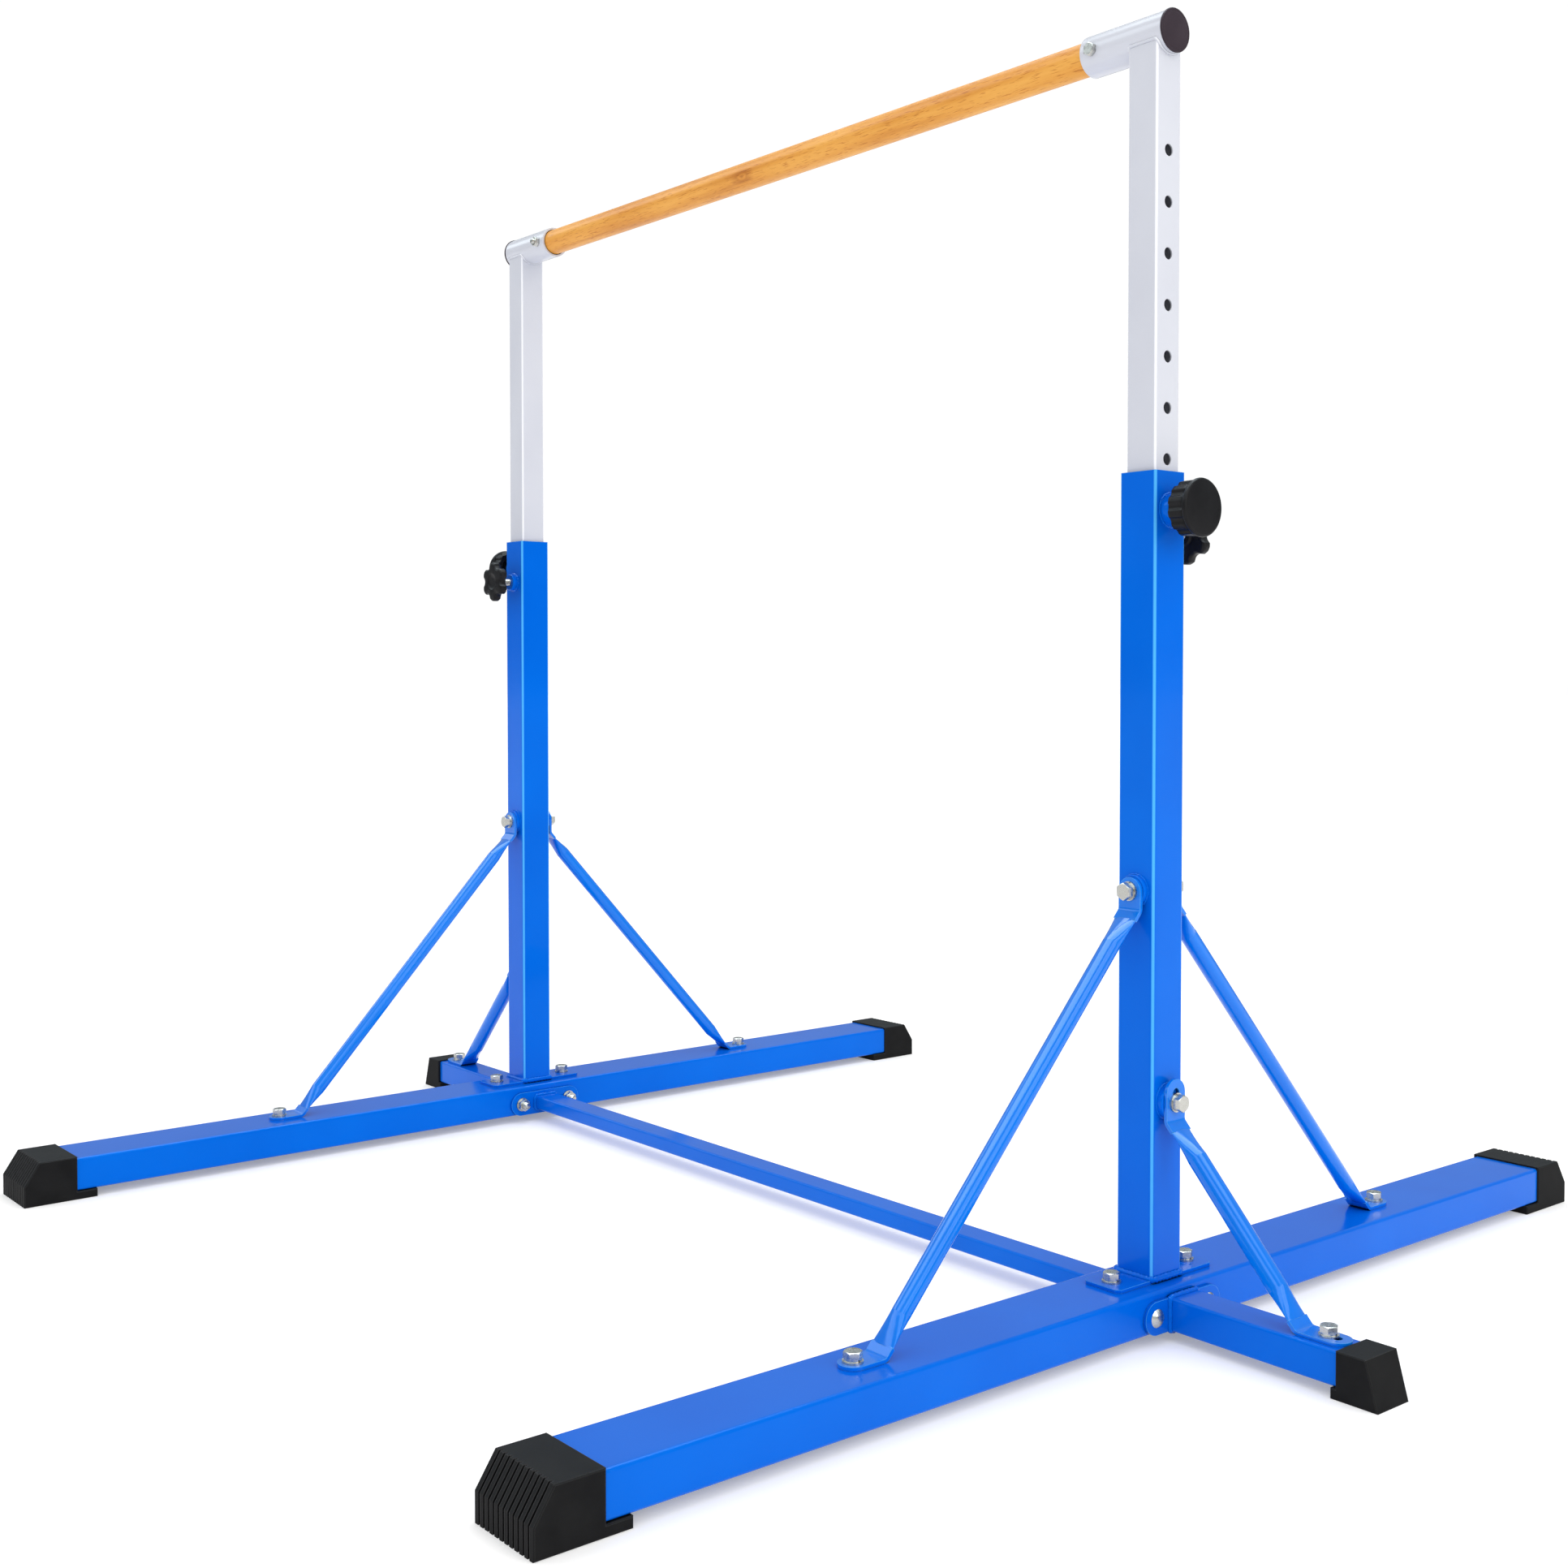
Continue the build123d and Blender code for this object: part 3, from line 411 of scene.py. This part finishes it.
def beech(name):
    """Lacquered beech: soft growth streaks, fine dark pores, one small knot and a satin clear coat."""
    material, tree, shader = new_material(name)
    streaks = noise(tree, coordinates(tree, (1.1, 24.0, 24.0)), scale=3.0, detail=5.0, roughness=0.6)
    grain = ramp(
        tree, streaks, "Fac",
        [(0.30, (0.62, 0.250, 0.036)), (0.48, (0.74, 0.335, 0.052)), (0.70, (0.81, 0.405, 0.078))],
    )
    clouds = noise(tree, coordinates(tree, (2.4, 9.0, 9.0)), scale=2.0, detail=2.0)
    drift = ramp(tree, clouds, "Fac", [(0.36, (0.90, 0.82, 0.68)), (0.60, (1.0, 1.0, 1.0))])
    fine = noise(tree, coordinates(tree, (20.0, 300.0, 300.0)), scale=3.0, detail=2.0)
    pores = ramp(tree, fine, "Fac", [(0.33, (0.72, 0.58, 0.42)), (0.42, (1.0, 1.0, 1.0))])
    knot_place = coordinates(tree, KNOT_SCALE)
    knot_place.inputs["Location"].default_value = [-k * s for k, s in zip(KNOT, KNOT_SCALE)]
    knot_size = add(tree, "ShaderNodeVectorMath", operation="LENGTH")
    link(tree, knot_place, "Vector", knot_size, 0)
    wobble = arithmetic(
        tree, "ADD", knot_size.outputs["Value"],
        arithmetic(tree, "MULTIPLY", streaks.outputs["Fac"], 0.5),
    )
    knot = ramp_stops(
        add(tree, "ShaderNodeValToRGB"),
        [
            (0.30, (0.66, 0.52, 0.40)),
            (0.40, (0.92, 0.86, 0.78)),
            (0.50, (0.74, 0.62, 0.50)),
            (0.85, (1.0, 1.0, 1.0)),
        ],
    )
    tree.links.new(wobble, knot.inputs["Fac"])
    colour = grain.outputs["Color"]
    for layer in (drift, pores, knot):
        colour = mixed(tree, colour, layer.outputs["Color"], 1.0, "MULTIPLY")
    tree.links.new(colour, shader.inputs["Base Color"])
    bump(tree, shader, fine, "Fac", strength=0.05, distance=0.0002)
    rough = spread(tree, streaks, "Fac", 0.34, 0.46, start=0.3, end=0.7)
    link(tree, rough, "Result", shader, "Roughness")
    shader.inputs["Specular IOR Level"].default_value = 0.20
    shader.inputs["Coat Weight"].default_value = 0.16
    shader.inputs["Coat Roughness"].default_value = 0.22
    return material


BEECH = beech("beech")

SLOT_MATERIALS = {
    "blue_paint": BLUE,
    "silver_paint": SILVER,
    "zinc_steel": ZINC,
    "rubber": RUBBER,
    "black_plastic": PLASTIC,
    "beech": BEECH,
}
OWN_MATERIALS = {
    "upright_tube_": BLUE_TUBE_HIGHLIT,
    "brace_front_": BLUE_BRACE_LIT,
    "brace_back_": BLUE_BRACE_LIT,
    "outrigger_brace_": BLUE_BRACE_LIT,
}
for part in frame["record"]["subparts"]:
    shown = SLOT_MATERIALS[part["material_slot"]]
    for start, own in OWN_MATERIALS.items():
        if part["node"].startswith(start):
            shown = own
    for spot in nodes[part["node"]].material_slots:
        spot.material = shown


# ---------------------------------------------------------------- new pieces
def to_object(name, mesh_data, material, body):
    """A bmesh as a smooth-shaded piece that rides on a body."""
    mesh = bpy.data.meshes.new(name)
    mesh_data.to_mesh(mesh)
    mesh_data.free()
    for face in mesh.polygons:
        face.use_smooth = True
    mesh.materials.append(material)
    piece = bpy.data.objects.new(name, mesh)
    bpy.context.scene.collection.objects.link(piece)
    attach(piece, body)
    return piece


def bead_mesh(path, radius, normals, ripple, pitch, seed):
    """A closed weld bead along a loop of points: a round cross-section that swells in ripples.

    normals gives, at each point, the direction out of the corner that the bead fills, so that the
    cross-section can lean a little that way.
    """
    mesh_data = bmesh.new()
    count = len(path)
    random = Random(seed)
    drift = [random.uniform(-1, 1) for _ in range(count)]
    travelled = 0.0
    rings = []
    for index, point in enumerate(path):
        before = path[index - 1]
        after = path[(index + 1) % count]
        travelled += (point - before).length
        tangent = (after - before).normalized()
        outward = normals[index]
        outward = (outward - tangent * outward.dot(tangent)).normalized()
        across = tangent.cross(outward)
        smooth_drift = (drift[index - 1] + drift[index] + drift[(index + 1) % count]) / 3
        swell = radius * (1 + ripple * math.sin(travelled / pitch * math.tau) + ripple * smooth_drift)
        ring = []
        for step in range(BEAD_SIDES):
            angle = step * math.tau / BEAD_SIDES
            offset = outward * math.cos(angle) + across * math.sin(angle)
            ring.append(mesh_data.verts.new(point + offset * swell))
        rings.append(ring)
    for index in range(count):
        one = rings[index]
        two = rings[(index + 1) % count]
        for step in range(BEAD_SIDES):
            further = (step + 1) % BEAD_SIDES
            mesh_data.faces.new((one[step], one[further], two[further], two[step]))
    mesh_data.normal_update()
    bmesh.ops.recalc_face_normals(mesh_data, faces=mesh_data.faces)
    return mesh_data


def rounded_rectangle(width, height, corner, step):
    """Points and outward directions round a rectangle with round corners, in its own plane."""
    points = []
    for quarter, (x_sign, y_sign) in enumerate(((1, 1), (-1, 1), (-1, -1), (1, -1))):
        centre = Vector((x_sign * (width / 2 - corner), y_sign * (height / 2 - corner)))
        for part in range(5):
            angle = (quarter + part / 4) * math.pi / 2
            way = Vector((math.cos(angle), math.sin(angle)))
            points.append((centre + way * corner, way))
    filled = []
    for index, (point, way) in enumerate(points):
        after, after_way = points[(index + 1) % len(points)]
        pieces_here = max(1, int((after - point).length / step))
        for part in range(pieces_here):
            share = part / pieces_here
            filled.append((point.lerp(after, share), way.lerp(after_way, share).normalized()))
    return filled


def stand_point(side, x, y, z):
    """A point given about a stand's own upright, in the machine's place."""
    return Vector((side * (POST_X + x), side * y, z))


def stand_way(side, x, y, z):
    """A direction given about a stand's own upright, in the machine's place."""
    return Vector((side * x, side * y, z))


def square_weld(name, side, plane, outline, level, radius, seed):
    """A bead round a square or rectangular tube where it meets a plate.

    A level plane lies at the height level, and an upright one at that distance out from the post's
    centre.
    """
    path = []
    normals = []
    for point, way in outline:
        if plane == "level":
            path.append(stand_point(side, point.x, point.y, level))
            normals.append(stand_way(side, way.x, way.y, WELD_LEAN))
        else:
            path.append(stand_point(side, level, point.x, JOIN_Z + point.y))
            normals.append(stand_way(side, math.copysign(WELD_LEAN, level), way.x, way.y))
    mesh_data = bead_mesh(path, radius, normals, ripple=0.16, pitch=0.0055, seed=seed)
    return to_object(name, mesh_data, BLUE, "stand")


def ring_weld(name, centre, axis, ring_radius, radius, seed):
    """A bead round a boss, where it stands on a flat face."""
    turn = axis.to_track_quat("Z", "Y")
    path = []
    normals = []
    for step in range(RING_WELD_POINTS):
        angle = step * math.tau / RING_WELD_POINTS
        way = turn @ Vector((math.cos(angle), math.sin(angle), 0))
        path.append(centre + way * ring_radius)
        normals.append(way + axis * WELD_LEAN)
    mesh_data = bead_mesh(path, radius, normals, ripple=0.14, pitch=0.0045, seed=seed)
    return to_object(name, mesh_data, BLUE, "stand")


def sleeve_weld(name, side, seed):
    """The bead that follows the sleeve's round underside across the inner tube's square top."""
    path = []
    normals = []
    for point, way in rounded_rectangle(2 * INNER_HALF, 2 * INNER_HALF, TUBE_CORNER, SLEEVE_WELD_STEP):
        drop = math.sqrt(SLEEVE_RADIUS ** 2 - min(abs(point.y), SLEEVE_RADIUS) ** 2)
        path.append(stand_point(side, point.x, point.y, BAR_Z - drop))
        normals.append(stand_way(side, way.x, way.y, SLEEVE_WELD_LEAN))
    mesh_data = bead_mesh(path, SLEEVE_WELD, normals, ripple=0.08, pitch=0.005, seed=seed)
    return to_object(name, mesh_data, SILVER, "carriage")


def boss_place(node, axis):
    """The centre of a boss's foot and its radius, from its box. axis points out of the post."""
    low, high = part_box(node)
    centre = (low + high) / 2
    across = [high[i] - low[i] for i in range(3) if abs(axis[i]) < 0.5]
    depth = sum(abs(axis[i]) * (high[i] - low[i]) for i in range(3))
    return centre - axis * depth / 2, max(across) / 2


def all_welds():
    """Every weld on both stands."""
    leg_low, leg_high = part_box("outrigger_tube_right")
    cross_low, cross_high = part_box("crossbeam_tube")
    for word, side in SIDES:
        square_weld(
            "weld_post_foot_" + word, side, "level",
            rounded_rectangle(2 * POST_HALF, 2 * POST_HALF, POST_CORNER, WELD_STEP),
            PLATE_TOP, POST_WELD, 11 + side,
        )
        square_weld(
            "weld_outrigger_" + word, side, "upright",
            rounded_rectangle(leg_high.y - leg_low.y, leg_high.z - leg_low.z, TUBE_CORNER, WELD_STEP),
            leg_low.x - POST_X, JOINT_WELD, 21 + side,
        )
        square_weld(
            "weld_crossbeam_" + word, side, "upright",
            rounded_rectangle(cross_high.y - cross_low.y, cross_high.z - cross_low.z, TUBE_CORNER, WELD_STEP),
            cross_high.x - POST_X, JOINT_WELD, 31 + side,
        )
        outward = Vector((side, 0, 0))
        across = Vector((0, side, 0))
        centre, radius = boss_place("pin_boss_" + word, outward)
        ring_weld("weld_pin_boss_" + word, centre, outward, radius, PIN_BOSS_WELD, 41 + side)
        centre, radius = boss_place("screw_boss_" + word, across)
        ring_weld("weld_screw_boss_" + word, centre, across, radius, SCREW_BOSS_WELD, 51 + side)
        for spot, end in ENDS:
            place = Vector((side * POST_X, end * POST_HALF, BRACE_TOP_Z))
            way = Vector((0, end, 0))
            name = f"weld_brace_{spot}_{word}"
            ring_weld(name, place, way, BRACE_BOSS_RADIUS, BRACE_BOSS_WELD, 61 + side + end)
        place = Vector((side * (POST_X + POST_HALF), 0, LEG_BRACE_TOP_Z))
        ring_weld("weld_outrigger_brace_" + word, place, outward, LEG_BOSS_RADIUS, LEG_BOSS_WELD, 71 + side)
        sleeve_weld("weld_sleeve_" + word, side, 81 + side)


def radial_piece(name, base, axis, levels, sides, shape, material, body):
    """A closed piece made of many-sided rings about an axis.

    levels is (height, radius) from one end on the axis to the other. shape(angle, height, radius)
    gives the ring's true radius at an angle.
    """
    turn = axis.to_track_quat("Z", "Y")
    mesh_data = bmesh.new()
    first = mesh_data.verts.new(base + axis * levels[0][0])
    last = mesh_data.verts.new(base + axis * levels[-1][0])
    rings = []
    for height, radius in levels[1:-1]:
        ring = []
        for step in range(sides):
            angle = step * math.tau / sides
            r = shape(angle, height, radius)
            offset = turn @ Vector((r * math.cos(angle), r * math.sin(angle), height))
            ring.append(mesh_data.verts.new(base + offset))
        rings.append(ring)
    for step in range(sides):
        further = (step + 1) % sides
        mesh_data.faces.new((first, rings[0][further], rings[0][step]))
        mesh_data.faces.new((last, rings[-1][step], rings[-1][further]))
        for one, two in zip(rings, rings[1:]):
            mesh_data.faces.new((one[step], one[further], two[further], two[step]))
    bmesh.ops.recalc_face_normals(mesh_data, faces=mesh_data.faces)
    return to_object(name, mesh_data, material, body)


def threaded_rod(name, base, axis, length, radius, pitch, body):
    """A rod with a real helical thread and chamfered ends."""
    depth = 0.55 * pitch
    step_height = pitch / 8
    count = int(length / step_height)
    heights = [number * length / count for number in range(count + 1)]
    levels = [(0.0, 0.0)] + [(height, radius) for height in heights] + [(length, 0.0)]

    def shape(angle, height, outer):
        phase = (height / pitch - angle / math.tau) % 1.0
        ridge = abs(2 * phase - 1)
        end = min(height, length - height)
        chamfer = max(0.0, depth - end)
        return outer - depth * min(1.0, 1.25 * ridge) - chamfer * 0.6

    return radial_piece(name, base, axis, levels, ROD_SIDES, shape, ZINC, body)


def soft_minimum(a, b, width):
    """The smaller of two values, blended over width."""
    share = max(width - abs(a - b), 0.0) / width
    return min(a, b) - share * share * width / 4


def arc(height, radius, size, start, end, steps):
    """Points (height, radius) of a profile's round edge, by angles in degrees from straight out."""
    points = []
    for step in range(steps + 1):
        angle = math.radians(start + (end - start) * step / steps)
        points.append((height + size * math.sin(angle), radius + size * math.cos(angle)))
    return points


def pin_knob(word, side):
    """The round knob: a domed disc with a soft rim in front of a skirt with twelve flutes."""
    axis = Vector((side, 0, 0))
    low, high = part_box("pin_knob_" + word)
    back = low.x if side > 0 else high.x
    base = Vector((back, 0, (low.z + high.z) / 2))
    radius = (high.z - low.z) / 2
    depth = high.x - low.x
    skirt_end = depth - 0.0065
    skirt = radius - 0.0016
    # the hub round the pin's hole, and the ring-shaped hollow behind the knob
    levels = [(0.0055, 0.0), (0.0055, 0.0064), (0.0005, 0.0066), (0.0, 0.0072), (0.0, 0.0105)]
    levels += [(0.0006, 0.0112), (0.0058, 0.0116), (0.006, 0.0125), (0.006, 0.0185), (0.0056, 0.0195)]
    levels += [(0.0006, 0.0212), (0.0, 0.0220)]
    # the skirt's round back edge, its side and the groove in front of it
    levels += [(0.0, skirt - 0.0022), (0.0004, skirt - 0.0010), (0.0014, skirt - 0.0003)]
    for part in range(1, 7):
        share = part / 6
        levels.append((0.0014 + (skirt_end - 0.0024) * share, skirt - 0.0003 + 0.0003 * share))
    levels += [(skirt_end - 0.0002, skirt - 0.0007), (skirt_end + 0.0002, skirt - 0.0009)]
    # the rim and the dome
    rim_centre = skirt_end + 0.0032
    rim_half = 0.0030
    levels += arc(rim_centre, radius - rim_half, rim_half, -80, 80, 12)
    dome_start_height, dome_start = levels[-1]
    dome_start -= 0.0012
    for part in range(9):
        share = 1 - part / 9
        rise = 0.0011 * (1 - share * share)
        levels.append((dome_start_height + 0.0001 + rise, dome_start * share))
    levels.append((dome_start_height + 0.0012, 0.0))
    flutes = 12
    flute_radius = 0.0052
    flute_depth = 0.0026

    def shape(angle, height, r):
        if r < 0.025 or height > skirt_end:
            return r
        pitch = math.tau / flutes
        off = (angle + pitch / 2) % pitch - pitch / 2
        centre = r + flute_radius - flute_depth
        sideways = centre * math.sin(off)
        if abs(sideways) >= flute_radius:
            return r
        cut = centre * math.cos(off) - math.sqrt(flute_radius ** 2 - sideways ** 2)
        fade = min(1.0, height / 0.0012 + 0.35)
        return r + (soft_minimum(r, cut, 0.0012) - r) * fade

    piece = radial_piece(
        "round_knob_" + word, base, axis, levels, ROUND_KNOB_SIDES, shape,
        PLASTIC, "pin_" + word,
    )
    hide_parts("pin_knob_" + word)


def star_knob(word, side):
    """The six-lobed knob: fat round lobes with fully rounded edges and a short hub behind."""
    axis = Vector((0, side, 0))
    low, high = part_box("star_knob_" + word)
    back = low.y if side > 0 else high.y
    base = Vector((side * POST_X, back, (low.z + high.z) / 2))
    radius = (high.z - low.z) / 2
    hub_length = 0.004
    thick = high.y - low.y - hub_length
    edge = 0.0042
    # the hub round the screw's hole, and the knob's back
    levels = [(0.003, 0.0), (0.003, 0.0052), (0.0, 0.0056), (0.0, 0.0100), (0.0006, 0.0108)]
    levels += [(hub_length - 0.0004, 0.0112), (hub_length - 0.0001, 0.0120)]
    levels += [(hub_length, 0.0150), (hub_length, radius - edge - 0.0040)]
    # the round back and front edges
    levels += arc(hub_length + edge, radius - edge, edge, -90, 0, 8)
    levels += arc(hub_length + thick - edge, radius - edge, edge, 0, 90, 8)[1:]
    # the face, with a shallow round dish in its middle
    top = hub_length + thick
    levels += [(top + 0.0002, radius - edge - 0.0040), (top + 0.0006, 0.0140), (top + 0.0002, 0.0120)]
    levels += [(top - 0.0008, 0.0112), (top - 0.0008, 0.0060), (top - 0.0008, 0.0)]
    lobes = 6
    scallop = 0.0095
    scallop_out = 0.0025

    def shape(angle, height, r):
        if r < 0.0155:
            return r
        pitch = math.tau / lobes
        off = (angle + pitch / 2) % pitch - pitch / 2
        centre = radius + scallop_out
        sideways = centre * math.sin(off)
        outline = radius
        if abs(sideways) < scallop:
            cut = centre * math.cos(off) - math.sqrt(scallop ** 2 - sideways ** 2)
            outline = soft_minimum(radius, cut, 0.0065)
        elif abs(off) < 0.45:
            outline = radius - 0.0016 * max(0.0, 1 - (abs(off) - 0.29) / 0.16)
        return max(0.0152, r - (radius - outline))

    piece = radial_piece(
        "lobed_knob_" + word, base, axis, levels, STAR_KNOB_SIDES, shape,
        PLASTIC, "star_" + word,
    )
    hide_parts("star_knob_" + word)


def plain_round(angle, height, radius):
    """The ring's own radius at every angle."""
    return radius


def round_cap(word, side):
    """The sleeve's push-in cap: a low dome inside a shallow groove, with a soft rim."""
    axis = Vector((side, 0, 0))
    low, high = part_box("sleeve_cap_" + word)
    inner = low.x if side > 0 else high.x
    base = Vector((inner, 0, BAR_Z))
    radius = (high.z - low.z) / 2
    length = high.x - low.x
    plug = CAP_PLUG_RADIUS
    disc = length - CAP_DISC
    groove = radius - 0.0028
    # the plug inside the sleeve
    levels = [(0.0, 0.0), (0.0, plug - 0.0014), (0.0004, plug - 0.0004), (0.0014, plug)]
    levels += [(disc - 0.0002, plug)]
    # the disc's back and side, its groove and its low dome
    levels += [(disc, plug + 0.0002), (disc, radius - 0.0008), (disc + 0.0003, radius - 0.0002)]
    levels += [(disc + 0.0008, radius), (length - 0.0018, radius), (length - 0.0009, radius - 0.0003)]
    levels += [(length - 0.0004, radius - 0.0009), (length - 0.0004, radius - 0.0016)]
    levels += [(length - 0.0009, groove), (length - 0.0009, groove - 0.0005)]
    levels += [(length - 0.0005, groove - 0.0012)]
    for part in range(9):
        share = 1 - part / 9
        levels.append((length - 0.0004 * share * share, (groove - 0.0016) * share))
    levels.append((length, 0.0))
    piece = radial_piece(
        "round_cap_" + word, base, axis, levels, CAP_SIDES, plain_round,
        CAP, "carriage",
    )
    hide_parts("sleeve_cap_" + word)


def threads():
    """Helical threads on every rod end that shows."""
    for word, side in SIDES:
        axis = Vector((0, side, 0))
        low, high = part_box("screw_stud_" + word)
        start = low.y if side > 0 else high.y
        base = Vector((side * POST_X, start, (low.z + high.z) / 2))
        length = high.y - low.y
        radius = (high.z - low.z) / 2
        stud = threaded_rod(
            "threaded_stud_" + word, base, axis, length, radius, COARSE_PITCH, "screw_" + word
        )
        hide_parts("screw_stud_" + word)
        inward = Vector((-side, 0, 0))
        for spot, end in ENDS:
            place = Vector((side * (POST_X - FLANGE_NUT_FACE), end * FLANGE_BOLT_Y, JOIN_Z))
            threaded_rod(
                f"flange_thread_{spot}_{word}", place, inward,
                FLANGE_THREAD_LENGTH, FLANGE_THREAD_RADIUS, COARSE_PITCH, "stand",
            )
        low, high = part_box("bar_bolt_" + word)
        nut_low, nut_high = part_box("bar_nut_" + word)
        end_y = high.y if side > 0 else low.y
        nut_y = nut_high.y if side > 0 else nut_low.y
        place = Vector(((low.x + high.x) / 2, nut_y - side * BAR_THREAD_SUNK, BAR_Z))
        length = abs(end_y - nut_y) + BAR_THREAD_SUNK + BAR_THREAD_PROUD
        threaded_rod(
            "bar_bolt_thread_" + word, place, axis, length, BAR_THREAD_RADIUS, FINE_PITCH, "carriage"
        )


all_welds()
for word, side in SIDES:
    pin_knob(word, side)
    star_knob(word, side)
    round_cap(word, side)
threads()


# ---------------------------------------------------------------- studio
SKY_STRENGTH = 1.02
ROOM_COLOUR = (0.84, 0.95, 1.0)
CEILING_BOX = 6.0            # how bright the ceiling's soft box is in reflections
LEVEL_BOX = 2.6              # and the long one in front
FLOOR_GREY = 0.80
FLOOR_GLOW = 0.28
FLOOR_HALF = 90
LAMPS = (
    # name, place, size, power, colour
    ("key", (4.2, 0.4, 2.2), 2.4, 46, (1.0, 0.97, 0.90)),
    ("side", (-2.0, -4.2, 2.2), 2.2, 5, (0.94, 0.97, 1.0)),
    ("top", (0.0, 0.5, 4.2), 2.6, 22, (1.0, 1.0, 1.0)),
)
LAMP_TARGET = Vector((0, 0, 0.6))


def facing(tree, source, way):
    """How far a direction points along a fixed one."""
    node = add(tree, "ShaderNodeVectorMath", operation="DOT_PRODUCT")
    link(tree, source, "Generated", node, 0)
    node.inputs[1].default_value = way
    return node


def mask_of(tree, source, output, stops):
    """A grey ramp used as a number."""
    node = ramp(tree, source, output, [(place, (value, value, value)) for place, value in stops])
    return node.outputs["Color"]


def reflected_room(tree):
    """How bright the studio looks in reflections.

    The room is dim, with a bright soft box on the ceiling and a long one in front.
    """
    direction = add(tree, "ShaderNodeTexCoord")
    height = facing(tree, direction, (0, 0, 1))
    walls = mask_of(tree, height, "Value", [(0.0, 0.16), (0.20, 0.40), (0.50, 0.60), (1.0, 0.80)])
    ceiling = mask_of(tree, height, "Value", [(0.76, 0.0), (0.84, 1.0)])
    forward = facing(tree, direction, (0, -1, 0))
    level = arithmetic(
        tree, "MULTIPLY",
        mask_of(tree, height, "Value", [(0.38, 0.0), (0.43, 1.0), (0.62, 1.0), (0.67, 0.0)]),
        mask_of(tree, forward, "Value", [(0.05, 0.0), (0.20, 1.0)]),
    )
    total = walls
    for box, power in ((ceiling, CEILING_BOX), (level, LEVEL_BOX)):
        total = arithmetic(tree, "ADD", total, arithmetic(tree, "MULTIPLY", box, power))
    return total


def sky():
    """Even white light all round. Reflections see the studio's room instead."""
    world = bpy.data.worlds.new("sky")
    world.use_nodes = True
    tree = world.node_tree
    tree.nodes.clear()
    out = add(tree, "ShaderNodeOutputWorld")
    even = add(tree, "ShaderNodeBackground")
    even.inputs["Color"].default_value = (1, 1, 1, 1)
    even.inputs["Strength"].default_value = SKY_STRENGTH
    mirrored = add(tree, "ShaderNodeBackground")
    mirrored.inputs["Color"].default_value = (*ROOM_COLOUR, 1)
    tree.links.new(reflected_room(tree), mirrored.inputs["Strength"])
    ray = add(tree, "ShaderNodeLightPath")
    mix = add(tree, "ShaderNodeMixShader")
    link(tree, ray, "Is Glossy Ray", mix, "Fac")
    tree.links.new(even.outputs[0], mix.inputs[1])
    tree.links.new(mirrored.outputs[0], mix.inputs[2])
    link(tree, mix, "Shader", out, "Surface")
    bpy.context.scene.world = world


def pale_floor():
    """A pale, faintly glowing floor without an edge in sight."""
    mesh = bpy.data.meshes.new("floor")
    far = FLOOR_HALF
    mesh.from_pydata([(-far, -far, 0), (far, -far, 0), (far, far, 0), (-far, far, 0)], [], [(0, 1, 2, 3)])
    floor = bpy.data.objects.new("floor", mesh)
    bpy.context.scene.collection.objects.link(floor)
    material, tree, shader = new_material("floor")
    shader.inputs["Base Color"].default_value = (FLOOR_GREY, FLOOR_GREY, FLOOR_GREY, 1)
    shader.inputs["Emission Color"].default_value = (1, 1, 1, 1)
    shader.inputs["Emission Strength"].default_value = FLOOR_GLOW
    shader.inputs["Roughness"].default_value = 0.9
    shader.inputs["Specular IOR Level"].default_value = 0.1
    mesh.materials.append(material)


def soft_lamps():
    """Three square area lights, aimed at the machine's middle."""
    for name, place, size, power, colour in LAMPS:
        lamp = bpy.data.lights.new(name, "AREA")
        lamp.shape = "SQUARE"
        lamp.size = size
        lamp.energy = power
        lamp.color = colour
        holder = bpy.data.objects.new(name, lamp)
        holder.location = place
        aim = LAMP_TARGET - Vector(place)
        holder.rotation_euler = aim.to_track_quat("-Z", "Y").to_euler()
        bpy.context.scene.collection.objects.link(holder)


pale_floor()
sky()
soft_lamps()


# ---------------------------------------------------------------- camera
CAMERA_PLACE = Vector((1.966, -1.576, 0.7055))
CAMERA_YAW = math.radians(50.32)      # turned from +Y towards -X
CAMERA_PITCH = math.radians(-1.644)
SENSOR = 36.0
LENS = 42.6
SHIFT_X = -0.0159
SHIFT_Y = -0.0311


def camera():
    """From in front and to the right, at half the bar's height, looking slightly down."""
    data = bpy.data.cameras.new("camera")
    data.sensor_width = SENSOR
    data.lens = LENS
    data.shift_x = SHIFT_X
    data.shift_y = SHIFT_Y
    data.clip_start = 0.05
    data.clip_end = 100
    holder = bpy.data.objects.new("camera", data)
    holder.location = CAMERA_PLACE
    holder.rotation_euler = (math.pi / 2 + CAMERA_PITCH, 0, CAMERA_YAW)
    bpy.context.scene.collection.objects.link(holder)
    bpy.context.scene.camera = holder


camera()
bpy.context.scene.view_settings.view_transform = "Standard"
